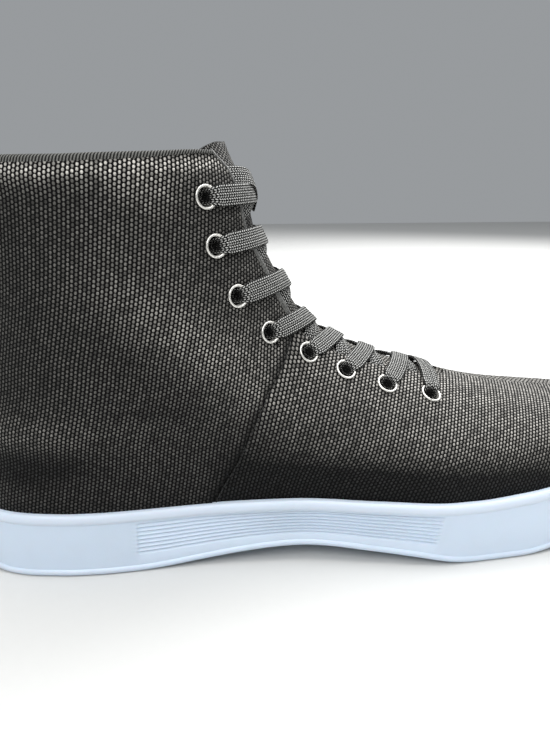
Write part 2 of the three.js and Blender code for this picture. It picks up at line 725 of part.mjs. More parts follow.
const whiteRubber = new THREE.MeshStandardMaterial({ color: 0xd0dae6, roughness: 0.55, metalness: 0 });
const waxedCanvas = new THREE.MeshStandardMaterial({ color: 0x34342f, roughness: 0.6, metalness: 0 });
const bindingTape = new THREE.MeshStandardMaterial({ color: 0x1c1c1c, roughness: 0.85, metalness: 0 });
const blackCord = new THREE.MeshStandardMaterial({ color: 0x161616, roughness: 0.8, metalness: 0 });
const greyTextile = new THREE.MeshStandardMaterial({ color: 0x2a2a2a, roughness: 0.9, metalness: 0 });
const nickel = new THREE.MeshStandardMaterial({ color: 0xd9d6cf, roughness: 0.3, metalness: 0.9 });

const shoe = new THREE.Group();
shoe.add(meshOf('cupsole', cupsole(), whiteRubber));
shoe.add(meshOf('upper', upper(), waxedCanvas));
shoe.add(meshOf('collar_binding', collarBinding(), bindingTape));
shoe.add(meshOf('tongue', tongue(), waxedCanvas));
shoe.add(meshOf('insole', insole(), greyTextile));
for (const seat of eyeletSeats) {
  const eyelet = new THREE.Mesh(eyeletGeometry(seat), nickel);
  eyelet.name = seat.name;
  shoe.add(eyelet);
}
shoe.add(meshOf('lace', lace(), blackCord));

// The origin is on the floor, in the middle of the shoe.
const box = new THREE.Box3().setFromObject(shoe);
const middle = box.getCenter(new THREE.Vector3());
shoe.position.set(-middle.x, -middle.y, -box.min.z);

const group = new THREE.Group();
group.add(shoe);
export default group;
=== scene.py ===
import logging
import math
from dataclasses import dataclass
from enum import Enum
from typing import Callable, Sequence

import bpy
import numpy as np
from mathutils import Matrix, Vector


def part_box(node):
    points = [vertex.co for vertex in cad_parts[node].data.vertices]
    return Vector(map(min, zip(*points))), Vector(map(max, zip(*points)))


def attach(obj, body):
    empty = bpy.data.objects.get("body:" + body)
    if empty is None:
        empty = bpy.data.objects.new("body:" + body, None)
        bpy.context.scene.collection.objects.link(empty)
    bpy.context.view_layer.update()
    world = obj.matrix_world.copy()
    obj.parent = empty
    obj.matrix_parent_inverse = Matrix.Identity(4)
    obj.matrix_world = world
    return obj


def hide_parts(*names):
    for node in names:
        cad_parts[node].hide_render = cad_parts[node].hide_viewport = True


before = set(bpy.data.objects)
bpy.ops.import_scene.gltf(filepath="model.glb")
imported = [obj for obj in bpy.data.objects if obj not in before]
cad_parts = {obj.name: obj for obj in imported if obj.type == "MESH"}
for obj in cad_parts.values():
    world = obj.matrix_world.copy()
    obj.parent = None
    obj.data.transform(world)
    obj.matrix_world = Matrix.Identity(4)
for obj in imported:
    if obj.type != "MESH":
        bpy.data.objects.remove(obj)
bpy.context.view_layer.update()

LOG = logging.getLogger("sneaker")
MM = 0.001
QUARTER_STEP = 0.8 * MM
EYELET_HOLE = 3.9 * MM
TREAD_PITCH = 8 * MM
Array = np.ndarray


class Side(Enum):
    """Side of the foot, with the sign of y there."""

    LATERAL = -1.0
    MEDIAL = 1.0


def column_curve(rows: Sequence[tuple], column: int) -> Callable[[Array], Array]:
    """Give a smooth curve through one column of a table that never overshoots its rows.

    Args:
        rows: Table rows, each starting with the place along the table.
        column: Index of the wanted column.

    Returns:
        A function of the place along the table.
    """
    xs = np.array([row[0] for row in rows], float)
    ys = np.array([row[column] for row in rows], float)
    steps = np.diff(ys) / np.diff(xs)
    slopes = np.concatenate([steps[:1], np.zeros(len(xs) - 2), steps[-1:]])
    for i in range(1, len(xs) - 1):
        before, after = steps[i - 1], steps[i]
        if before * after > 0:
            slopes[i] = 2 * before * after / (before + after)

    def curve(place: Array) -> Array:
        inside = np.clip(np.asarray(place, float), xs[0], xs[-1])
        i = np.clip(np.searchsorted(xs, inside, side="left") - 1, 0, len(xs) - 2)
        span = xs[i + 1] - xs[i]
        t = (inside - xs[i]) / span
        t2, t3 = t * t, t * t * t
        low = (2 * t3 - 3 * t2 + 1) * ys[i] + (t3 - 2 * t2 + t) * span * slopes[i]
        return low + (3 * t2 - 2 * t3) * ys[i + 1] + (t3 - t2) * span * slopes[i + 1]

    return curve


def rounded(distance: Array, radius: Array, fullness: Array) -> Array:
    """Give the roundness of an end: 0 at its edge, 1 from the radius inwards."""
    left = 1 - np.clip(distance / radius, 0, 1)
    return (1 - left**fullness) ** (1 / fullness)


def smooth(low: float, high: float, value: Array) -> Array:
    """Give a soft step from 0 at low to 1 at high."""
    t = np.clip((value - low) / (high - low), 0, 1)
    return t * t * (3 - 2 * t)


def mix(a: Array, b: Array, t: Array) -> Array:
    """Blend from a to b by t."""
    return a + (b - a) * t


def narrowed(low: Array, high: Array, rounds: int, past: Callable[[Array], Array]) -> Array:
    """Halve a range round by round, down to where a test turns true.

    Args:
        low: Values where the test is false.
        high: Values where it may be true.
        rounds: How often the range is halved.
        past: The test.

    Returns:
        The values where it turns.
    """
    for _ in range(rounds):
        middle = (low + high) / 2
        beyond = past(middle)
        high = np.where(beyond, middle, high)
        low = np.where(beyond, low, middle)
    return (low + high) / 2


def run_length(points: Array) -> Array:
    """Give the length run along a row of points, from 0 at its start."""
    return np.concatenate([[0], np.linalg.norm(np.diff(points, axis=0), axis=1).cumsum()])


# Plan of the sole: place, half widths and centre line as shares of the length and the ball width.
PLAN = [
    (0.000, 0.280, 0.290, 0.000),
    (0.045, 0.279, 0.292, 0.000),
    (0.095, 0.288, 0.297, 0.000),
    (0.140, 0.311, 0.307, 0.000),
    (0.190, 0.321, 0.313, 0.000),
    (0.274, 0.320, 0.314, 0.000),
    (0.419, 0.356, 0.304, 0.000),
    (0.535, 0.443, 0.363, 0.010),
    (0.632, 0.505, 0.436, 0.020),
    (0.729, 0.500, 0.485, 0.034),
    (0.826, 0.456, 0.490, 0.054),
    (0.923, 0.392, 0.466, 0.078),
    (1.000, 0.343, 0.441, 0.088),
]

# Side of the sole: place, then heights of top edge, bottom edge and cup floor in sidewall heights.
SIDE_LINES = [
    (0.000, 1.010, 0.09, 0.56),
    (0.058, 1.000, 0.00, 0.52),
    (0.206, 0.987, 0.00, 0.50),
    (0.439, 1.015, 0.26, 0.54),
    (0.574, 0.996, 0.13, 0.46),
    (0.661, 0.993, 0.00, 0.40),
    (0.729, 1.045, 0.00, 0.40),
    (0.806, 1.130, 0.10, 0.50),
    (1.000, 1.474, 0.50, 0.92),
]

# Back of the heel and shaft: height in collar heights, then how far in it lies and its round, in lengths.
BACK = [
    (-0.10, 0.0106, 0.100),
    (0.16, 0.0106, 0.102),
    (0.30, 0.0140, 0.115),
    (0.50, 0.0290, 0.138),
    (0.70, 0.0380, 0.160),
    (0.88, 0.0340, 0.168),
    (1.10, 0.0290, 0.168),
]

# Sections through the upper: number, ridge point, base point, crown depth and fullness.
SECTIONS = [
    (0, 0.3448, 1.092, 0.0290, 1.092, 0.161, 2.0),
    (1, 0.3584, 1.012, 0.0315, 1.000, 0.161, 2.0),
    (2, 0.3806, 0.920, 0.0340, 0.877, 0.161, 2.0),
    (3, 0.3913, 0.828, 0.0380, 0.724, 0.166, 2.0),
    (4, 0.4126, 0.748, 0.0330, 0.564, 0.179, 1.9),
    (5, 0.4339, 0.675, 0.0215, 0.405, 0.194, 1.85),
    (6, 0.4581, 0.607, 0.0120, 0.233, 0.203, 1.8),
    (7, 0.4871, 0.561, 0.0106, 0.049, 0.208, 1.8),
    (8, 0.5258, 0.521, 0.0903, -0.061, 0.198, 1.85),
    (9, 0.5674, 0.488, 0.2258, -0.061, 0.184, 1.9),
    (10, 0.6226, 0.457, 0.3710, -0.061, 0.165, 1.9),
    (11, 0.6874, 0.416, 0.5326, -0.061, 0.140, 2.0),
    (12, 0.7677, 0.379, 0.6932, -0.061, 0.111, 2.25),
    (13, 0.8384, 0.358, 0.8229, -0.061, 0.087, 2.35),
    (14, 0.9032, 0.344, 0.9032, -0.061, 0.070, 2.35),
    (15, 0.9487, 0.328, 0.9516, -0.061, 0.056, 2.3),
    (16, 0.9777, 0.298, 0.9787, -0.061, 0.043, 2.2),
    (17, 0.9894, 0.255, 0.9894, -0.061, 0.029, 2.0),
]

# Collar rim: place, height in collar heights, share of the binding's height.
RIM = [
    (-0.065, 0.984, 1.0),
    (0.148, 0.985, 1.0),
    (0.206, 0.989, 0.85),
    (0.265, 0.994, 0.6),
    (0.313, 1.000, 0.45),
    (0.516, 1.004, 0.45),
]

# Vamp seam from the side: height in collar heights, place in lengths.
SEAM = [
    (-0.06, 0.286),
    (0.155, 0.313),
    (0.285, 0.350),
    (0.356, 0.366),
    (0.443, 0.389),
    (0.493, 0.407),
    (0.548, 0.421),
    (0.640, 0.444),
    (0.760, 0.477),
]

# Throat and tongue: section number, half width in shaft widths.
THROAT = [
    (-0.5, 0.36),
    (1.1, 0.31),
    (1.6, 0.265),
    (3.0, 0.255),
    (4.0, 0.23),
    (6.0, 0.208),
    (8.0, 0.195),
    (9.6, 0.18),
    (10.3, 0.145),
    (10.65, 0.09),
    (10.78, 0.03),
]
TONGUE = [
    (0.76, 0.07),
    (0.80, 0.18),
    (0.92, 0.27),
    (1.10, 0.33),
    (2.0, 0.38),
    (5.0, 0.36),
    (9.0, 0.31),
    (11.3, 0.26),
]

# Eyelets from the top down: section number, depth below the ridge in lengths, and how far towards the
# next eyelet the lace has run where it passes the ridge.
EYELETS = [
    (2.12, 0.065, 0.02),
    (3.15, 0.067, 0.1),
    (4.42, 0.071, 0.25),
    (5.68, 0.059, 0.42),
    (6.98, 0.041, 0.4),
    (8.15, 0.037, 0.4),
    (9.33, 0.034, 0.36),
    (10.29, 0.029, 0.0),
]

# Bands of tread: their ends as shares of the length.
TREAD_BANDS = [(0.05, 0.09), (0.175, 0.32), (0.545, 0.66), (0.745, 0.90)]

# Swell under the collar: place and drop below the rim in millimetres, and strength.
RIM_SWELL = [(-5, 7.0, 1.0), (60, 7.0, 1.0), (95, 7.5, 0.8)]

# Creases and swells of the canvas: a line of places, heights and strengths, then half width and height, all
# in millimetres. A height below 0 makes a trough.
CREASES = [
    ([(0, 62, 0.9), (40, 61, 1.0), (66, 60, 0.2)], 8, 1.2),
    ([(0, 47, 0.9), (30, 46, 0.8), (60, 48, 0.1)], 7, -1.1),
    ([(50, 66, 0.2), (74, 68, 1.0), (98, 66, 0.3)], 4.5, -0.5),
    ([(66, 116, 0.3), (88, 98, 1.0), (108, 84, 1.0), (124, 76, 0.4)], 9, 1.1),
    ([(52, 104, 0.2), (72, 88, 1.0), (90, 72, 0.6)], 10, -0.8),
    ([(118, 52, 0.3), (150, 50, 1.0), (190, 46, 1.0), (250, 42, 0.6)], 10, 1.5),
    ([(110, 33, 0.5), (160, 33, 1.0), (230, 36, 0.7)], 9, -1.2),
]


class Last:
    """The form that the shoe is built on, in metres, from the back of the heel, y = 0 mid heel."""

    def __init__(self, length: float) -> None:
        """Set the driving sizes.

        Args:
            length: Length of the outsole in metres.
        """
        self.length = length
        self.ball = 102 * MM
        self.sidewall = 27 * MM
        self.collar = 163 * MM
        self.shaft = 73 * MM
        self.heel_round = 34 * MM
        self.toe_round = 70 * MM
        self.lip = 3.2 * MM
        self.plan = [column_curve(PLAN, i) for i in (1, 2, 3)]
        lines = ("top", "bottom", "floor")
        self.side = {name: column_curve(SIDE_LINES, i) for i, name in enumerate(lines, 1)}
        self.back = [column_curve(BACK, i) for i in (1, 2)]
        self.section = [column_curve(SECTIONS, i) for i in range(1, 7)]
        self.rim_up = column_curve(RIM, 1)
        self.rim_band = column_curve(RIM, 2)
        self.seam_at = column_curve(SEAM, 1)
        self.throat_half = column_curve(THROAT, 1)
        self.tongue_half = column_curve(TONGUE, 1)
        self.last_section = float(SECTIONS[-1][0])

    def height(self, line: str, x: Array) -> Array:
        """Give the height of one line of the sole's side at x."""
        return self.side[line](np.asarray(x) / self.length) * self.sidewall

    def rim_top(self, x: Array) -> Array:
        """Give the height of the collar's top edge at x."""
        return self.rim_up(np.asarray(x) / self.length) * self.collar

    def outline(self, x: Array, side: Side, inset: float) -> Array:
        """Give the y of the sole's outline at x, an inset inside it."""
        at = np.asarray(x) / self.length
        ends = rounded(x - inset, self.heel_round - inset, 2.0)
        ends = ends * rounded(self.length - inset - x, self.toe_round - inset, 2.2)
        centre = self.plan[2](at) * self.ball
        half = self.plan[0 if side is Side.LATERAL else 1](at) * self.ball - inset
        return centre + side.value * (half - side.value * centre) * ends

    def line(self, number: Array) -> tuple:
        """Give the ridge and base point of a section: ridge x, z and base x, z."""
        sizes = (self.length, self.collar, self.length, self.collar)
        return tuple(curve(number) * size for curve, size in zip(self.section, sizes))

    def at(self, number: Array, share: Array, side: Side) -> Array:
        """Give points of the upper's form.

        Args:
            number: Section numbers.
            share: How far down each section, 0 at the ridge.
            side: Side of the foot.

        Returns:
            Points as an array with x, y, z last.
        """
        number, share = np.broadcast_arrays(np.asarray(number, float), np.asarray(share, float))
        ax, az, bx, bz = self.line(number)
        x, z = mix(ax, bx, share), mix(az, bz, share)
        up = z / self.collar
        at = x / self.length
        centre = self.plan[2](at) * self.ball
        foot = self.plan[0 if side is Side.LATERAL else 1](at) * self.ball - self.lip - side.value * centre
        shaft = smooth(self.sidewall, 0.7 * self.collar, z)
        back = rounded(x - self.back[0](up) * self.length, self.back[1](up) * self.length, 2.0)
        toe = rounded(self.length - self.lip - x, self.toe_round - self.lip, 2.2)
        depth = np.hypot(x - ax, z - az)
        crown = rounded(depth, self.section[4](number) * self.length, self.section[5](number))
        width = mix(foot, self.shaft / 2, shaft) * back * toe * crown
        return np.stack([x, centre * (1 - shaft) + side.value * width, z], -1)

    def turned(self, number: Array, turn: Array, side: Side) -> Array:
        """Give points of the form with the way down the section eased at both ends."""
        return self.at(number, (1 - np.cos(np.pi * np.asarray(turn))) / 2, side)

    def normal(self, number: Array, turn: Array, side: Side) -> Array:
        """Give outward normals of the form."""
        n0, n1 = np.clip(number - 0.02, 0, None), np.clip(number + 0.02, None, self.last_section)
        t0, t1 = np.clip(turn - 2e-3, 1e-4, None), np.clip(turn + 2e-3, None, 1 - 1e-4)
        along = self.turned(n1, turn, side) - self.turned(n0, turn, side)
        down = self.turned(number, t1, side) - self.turned(number, t0, side)
        normal = np.cross(along, down) * side.value
        return normal / np.maximum(np.linalg.norm(normal, axis=-1, keepdims=True), 1e-12)

    def lifted(self, number: Array, turn: Array, side: Side, lift: Array) -> Array:
        """Give points a lift above the form."""
        number, turn = np.broadcast_arrays(np.asarray(number, float), np.asarray(turn, float))
        lift = np.asarray(lift, float)
        return self.turned(number, turn, side) + self.normal(number, turn, side) * lift[..., None]

    def solve_turn(self, number: Array, test: Callable[[Array], Array]) -> Array:
        """Find where a test that rises along the section passes 0, as an eased share."""
        return narrowed(np.zeros_like(number), np.ones_like(number), 36, lambda turn: test(turn) > 0)

    def turn_of_depth(self, number: Array, depth: Array) -> Array:
        """Give the eased share of a depth below the ridge."""
        ax, az, bx, bz = self.line(number)
        share = np.clip(depth / np.hypot(bx - ax, bz - az), 0, 1)
        return np.arccos(1 - 2 * share) / np.pi

    def wide_turn(self, number: Array, side: Side, half: Callable[[Array], Array]) -> Array:
        """Give the eased share where the form is as wide as a half width table says."""
        wide = half(number) * self.shaft
        return self.solve_turn(number, lambda t: np.abs(self.turned(number, t, side)[..., 1]) - wide)

    def throat_turn(self, number: Array, side: Side) -> Array:
        """Give the eased share of the throat's edge."""
        return self.wide_turn(number, side, self.throat_half)

    def seam_turn(self, number: Array, side: Side) -> Array:
        """Give the eased share where a section meets the vamp seam."""

        def test(t: Array) -> Array:
            point = self.turned(number, t, side)
            return self.seam_at(point[..., 2] / self.collar) * self.length - point[..., 0]

        return self.solve_turn(number, test)

    def floor_turn(self, number: Array, side: Side, gap: float) -> Array:
        """Give the eased share where a section meets the cup's floor, or 1 at the back."""

        def test(t: Array) -> Array:
            point = self.turned(number, t, side)
            return self.height("floor", point[..., 0]) + gap - point[..., 2]

        return self.solve_turn(number, test)

    def back_at(self, z: Array) -> Array:
        """Give the x of the middle of the back at a height."""
        return self.back[0](z / self.collar) * self.length

    def back_turn(self, number: Array, side: Side) -> Array:
        """Give the eased share where a section meets the middle of the back, or 1."""

        def test(t: Array) -> Array:
            point = self.turned(number, t, side)
            return self.back_at(point[..., 2]) - point[..., 0]

        return self.solve_turn(number, test)

    def find(self, x: Array, z: Array) -> tuple:
        """Find the section number and plain share of points of the side view."""
        x, z = np.broadcast_arrays(np.asarray(x, float), np.asarray(z, float))

        def past(number: Array) -> Array:
            ax, az, bx, bz = self.line(number)
            return (x - ax) * (bz - az) - (z - az) * (bx - ax) > 0

        number = narrowed(np.zeros_like(x), np.full_like(x, self.last_section), 40, past)
        ax, az, bx, bz = self.line(number)
        along = (x - ax) * (bx - ax) + (z - az) * (bz - az)
        share = along / ((bx - ax) ** 2 + (bz - az) ** 2)
        return number, np.clip(share, 0, 1)


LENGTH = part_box("cupsole")[1][0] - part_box("cupsole")[0][0]
LAST = Last(LENGTH)
_STATIONS = np.linspace(0, LENGTH, 1201)
_LOW = LAST.outline(_STATIONS, Side.LATERAL, 0.0).min()
_HIGH = LAST.outline(_STATIONS, Side.MEDIAL, 0.0).max()
SHIFT = np.array([-LENGTH / 2, -(_LOW + _HIGH) / 2, 0.0])


def eyelet_centre(i: int, side: Side, lift: float) -> Array:
    """Give the centre of an eyelet, counted from the top, a lift above the form."""
    number = np.array([EYELETS[i][0]])
    turn = LAST.turn_of_depth(number, EYELETS[i][1] * LENGTH)
    return LAST.lifted(number, turn, side, np.array([lift]))[0]


def deselect() -> None:
    """Deselect everything, so that an operator acts only on what is made next."""
    bpy.ops.object.select_all(action="DESELECT")


def make_active(piece: bpy.types.Object) -> None:
    """Select one piece alone."""
    deselect()
    piece.select_set(True)
    bpy.context.view_layer.objects.active = piece


def sheet_piece(name: str, points: Array, uv: Array | None = None, closed: bool = False) -> bpy.types.Object:
    """Lay a grid primitive on rows of points.

    Args:
        name: Name of the piece.
        points: Rows by columns by xyz, in the last's own place.
        uv: Rows by columns by uv in metres, or None.
        closed: True where each row closes on itself.

    Returns:
        The new piece, its place in its mesh.
    """
    rows, columns = points.shape[:2]
    deselect()
    bpy.ops.mesh.primitive_grid_add(x_subdivisions=columns - 1, y_subdivisions=rows - 1, size=1)
    piece = bpy.context.active_object
    piece.name = name
    piece.data.name = name
    flat = (points + SHIFT).reshape(-1, 3)
    piece.data.vertices.foreach_set("co", flat.astype(np.float32).ravel())
    if uv is not None:
        layer = piece.data.uv_layers.active
        index = np.empty(len(piece.data.loops), np.int32)
        piece.data.loops.foreach_get("vertex_index", index)
        layer.data.foreach_set("uv", uv.reshape(-1, 2)[index].astype(np.float32).ravel())
        layer.name = "cloth"
    piece.data.update()
    if closed:
        weld(piece, 0.02 * MM)
    return piece


def weld(piece: bpy.types.Object, distance: float) -> None:
    """Merge doubles and turn the faces out."""
    make_active(piece)
    bpy.ops.object.mode_set(mode="EDIT")
    bpy.ops.mesh.select_all(action="SELECT")
    bpy.ops.mesh.remove_doubles(threshold=distance)
    bpy.ops.mesh.dissolve_degenerate(threshold=1e-6)
    bpy.ops.mesh.normals_make_consistent(inside=False)
    bpy.ops.object.mode_set(mode="OBJECT")


def join(name: str, pieces: list) -> bpy.types.Object:
    """Join pieces into one."""
    deselect()
    for piece in pieces:
        piece.select_set(True)
    bpy.context.view_layer.objects.active = pieces[0]
    bpy.ops.object.join()
    pieces[0].name = name
    pieces[0].data.name = name
    return pieces[0]


def apply_modifier(piece: bpy.types.Object, kind: str, **settings: object) -> None:
    """Add one modifier, set it and apply it."""
    make_active(piece)
    modifier = piece.modifiers.new(kind.lower(), kind)
    for key, value in settings.items():
        setattr(modifier, key, value)
    bpy.ops.object.modifier_apply(modifier=modifier.name)


def smooth_shade(piece: bpy.types.Object, degrees: float = 40.0) -> None:
    """Shade smooth except over sharp edges."""
    make_active(piece)
    bpy.ops.object.shade_smooth_by_angle(angle=math.radians(degrees))


def paint(piece: bpy.types.Object, name: str, values: Array) -> None:
    """Paint one number on each vertex of a piece."""
    layer = piece.data.attributes.new(name, "FLOAT", "POINT")
    layer.data.foreach_set("value", np.ascontiguousarray(values, np.float32).ravel())


def vertex_places(piece: bpy.types.Object) -> Array:
    """Give the places of a piece's vertices from the back of the heel."""
    places = np.empty(len(piece.data.vertices) * 3, np.float32)
    piece.data.vertices.foreach_get("co", places)
    return places.reshape(-1, 3) - SHIFT


def bump_line(x: Array, z: Array, line: Sequence[tuple], width: float, height: float) -> Array:
    """Give a soft ridge, or a trough where the height is negative, along a line of the side view.

    Args:
        x: Places along the shoe.
        z: Heights.
        line: Points of the line in millimetres, each with x, z and strength.
        width: Half width of the ridge in metres.
        height: Its height in metres.

    Returns:
        How far the cloth stands out.
    """
    nearest = np.full(np.shape(x), 1e9)
    strength = np.zeros(np.shape(x))
    for (x0, z0, s0), (x1, z1, s1) in zip(line, line[1:]):
        ax, az, bx, bz = x0 * MM, z0 * MM, x1 * MM, z1 * MM
        along = ((x - ax) * (bx - ax) + (z - az) * (bz - az)) / ((bx - ax) ** 2 + (bz - az) ** 2)
        along = np.clip(along, 0, 1)
        distance = np.hypot(x - mix(ax, bx, along), z - mix(az, bz, along))
        closer = distance < nearest
        nearest = np.where(closer, distance, nearest)
        strength = np.where(closer, mix(s0, s1, along), strength)
    return height * strength * np.exp(-((nearest / width) ** 2))


def relief(x: Array, z: Array) -> Array:
    """Give the creases and swells of the canvas, as how far it stands out at a place of the side view."""
    out = bump_line(x, LAST.rim_top(x) - z, RIM_SWELL, 4.6 * MM, 1.3 * MM)
    for line, width, height in CREASES:
        out = out + bump_line(x, z, line, width * MM, height * MM)
    return out


def ring_shade(points: Array, lift: float) -> Array:
    """Give the painted shade of the eyelet holes: 1 inside the rings, on both sides."""
    painted_shade = np.zeros(points.shape[:2])
    for side in Side:
        for i in range(len(EYELETS)):
            away = np.linalg.norm(points - eyelet_centre(i, side, lift), axis=-1)
            painted_shade = np.maximum(painted_shade, 1 - smooth(4.2 * MM, 4.6 * MM, away))
    return painted_shade


def flip_if_inward(points: Array, uv: Array | None, outward: Array) -> tuple:
    """Reverse the columns of a grid where its faces would turn away from the outward directions.

    Args:
        points: Rows by columns by xyz.
        uv: Matching texture places, or None.
        outward: Outward directions at the points.

    Returns:
        The points and uv, reversed or not.
    """
    columns = points[1:-1, 2:] - points[1:-1, :-2]
    rows = points[2:, 1:-1] - points[:-2, 1:-1]
    facing = (np.cross(columns, rows) * outward[1:-1, 1:-1]).sum()
    if facing >= 0:
        return points, uv
    return points[:, ::-1], None if uv is None else uv[:, ::-1]


def delete_vertices(piece: bpy.types.Object, doomed: Array) -> None:
    """Delete the vertices of a piece that a mask names."""
    make_active(piece)
    bpy.ops.object.mode_set(mode="EDIT")
    bpy.ops.mesh.select_all(action="DESELECT")
    bpy.ops.object.mode_set(mode="OBJECT")
    piece.data.vertices.foreach_set("select", doomed)
    bpy.ops.object.mode_set(mode="EDIT")
    bpy.ops.mesh.select_mode(type="VERT")
    bpy.ops.mesh.delete(type="VERT")
    bpy.ops.object.mode_set(mode="OBJECT")


def punch(points: Array, centres: Array, radius: float) -> tuple:
    """Round the grid off to circles about some centres.

    Args:
        points: Rows by columns by xyz.
        centres: Centres of the holes.
        radius: Radius of the holes.

    Returns:
        The moved points, and a mask of the vertices inside the holes.
    """
    points = points.copy()
    doomed = np.zeros(points.shape[:2], bool)
    for centre in centres:
        away = points - centre
        distance = np.linalg.norm(away, axis=-1)
        inside = distance < radius
        grown = np.pad(~inside, 1, mode="edge")
        near = np.zeros_like(inside)
        for i in range(3):
            for j in range(3):
                near |= grown[i : i + inside.shape[0], j : j + inside.shape[1]]
        rim = inside & near
        scale = (radius / np.maximum(distance, 1e-9))[..., None]
        points = np.where(rim[..., None], centre + away * scale, points)
        doomed |= inside & ~near
    return points, doomed


def sweep(
    name: str, centres: Array, ups: Array, profile: Array, widths: Array | None = None
) -> bpy.types.Object:
    """Run a closed profile along a path.

    Args:
        name: Name of the piece.
        centres: Points of the path.
        ups: Directions out of the surface along the path.
        profile: Closed loop of (across, up) places.
        widths: Factors for the profile at each point of the path, or None.

    Returns:
        The new piece, its ends closed.
    """
    tangent = np.gradient(centres, axis=0)
    tangent /= np.linalg.norm(tangent, axis=1, keepdims=True)
    across = np.cross(ups, tangent)
    across /= np.linalg.norm(across, axis=1, keepdims=True)
    up = np.cross(tangent, across)
    factor = np.ones(len(centres)) if widths is None else widths
    loop = np.vstack([profile, profile[:1]])
    rings = centres[:, None] + factor[:, None, None] * (
        across[:, None] * loop[None, :, :1] + up[:, None] * loop[None, :, 1:]
    )
    first, last = (centres[None, end].repeat(len(loop), 1) for end in (slice(0, 1), slice(-1, None)))
    rings = np.concatenate([first, rings, last])
    length = run_length(centres)
    length = np.concatenate([length[:1], length, length[-1:]])
    uv = np.stack(np.broadcast_arrays(loop[None, :, 0], length[:, None]), -1)
    return sheet_piece(name, rings, uv, closed=True)


@dataclass
class Stock:
    """Makes pieces ride and stand for their solids.

    Attributes:
        finishes: The materials.
    """

    finishes: "Finishes"

    def place(
        self, piece: bpy.types.Object, nodes: Sequence[str], slot: str, material: bpy.types.Material
    ) -> bpy.types.Object:
        """Hand one finished piece to the frame.

        Args:
            piece: The piece.
            nodes: The solids it stands for.
            slot: Not used.
            material: Its finish.

        Returns:
            The same piece.
        """
        if not piece.data.materials:
            piece.data.materials.append(material)
        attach(piece, "root")
        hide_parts(*nodes)
        LOG.info("%s made: %d faces", piece.name, len(piece.data.polygons))
        return piece


def srgb(red: float, green: float, blue: float) -> tuple:
    """Turn 0 to 255 screen values into linear ones."""
    out = []
    for value in (red, green, blue):
        share = value / 255
        out.append(share / 12.92 if share <= 0.04045 else ((share + 0.055) / 1.055) ** 2.4)
    return tuple(out)


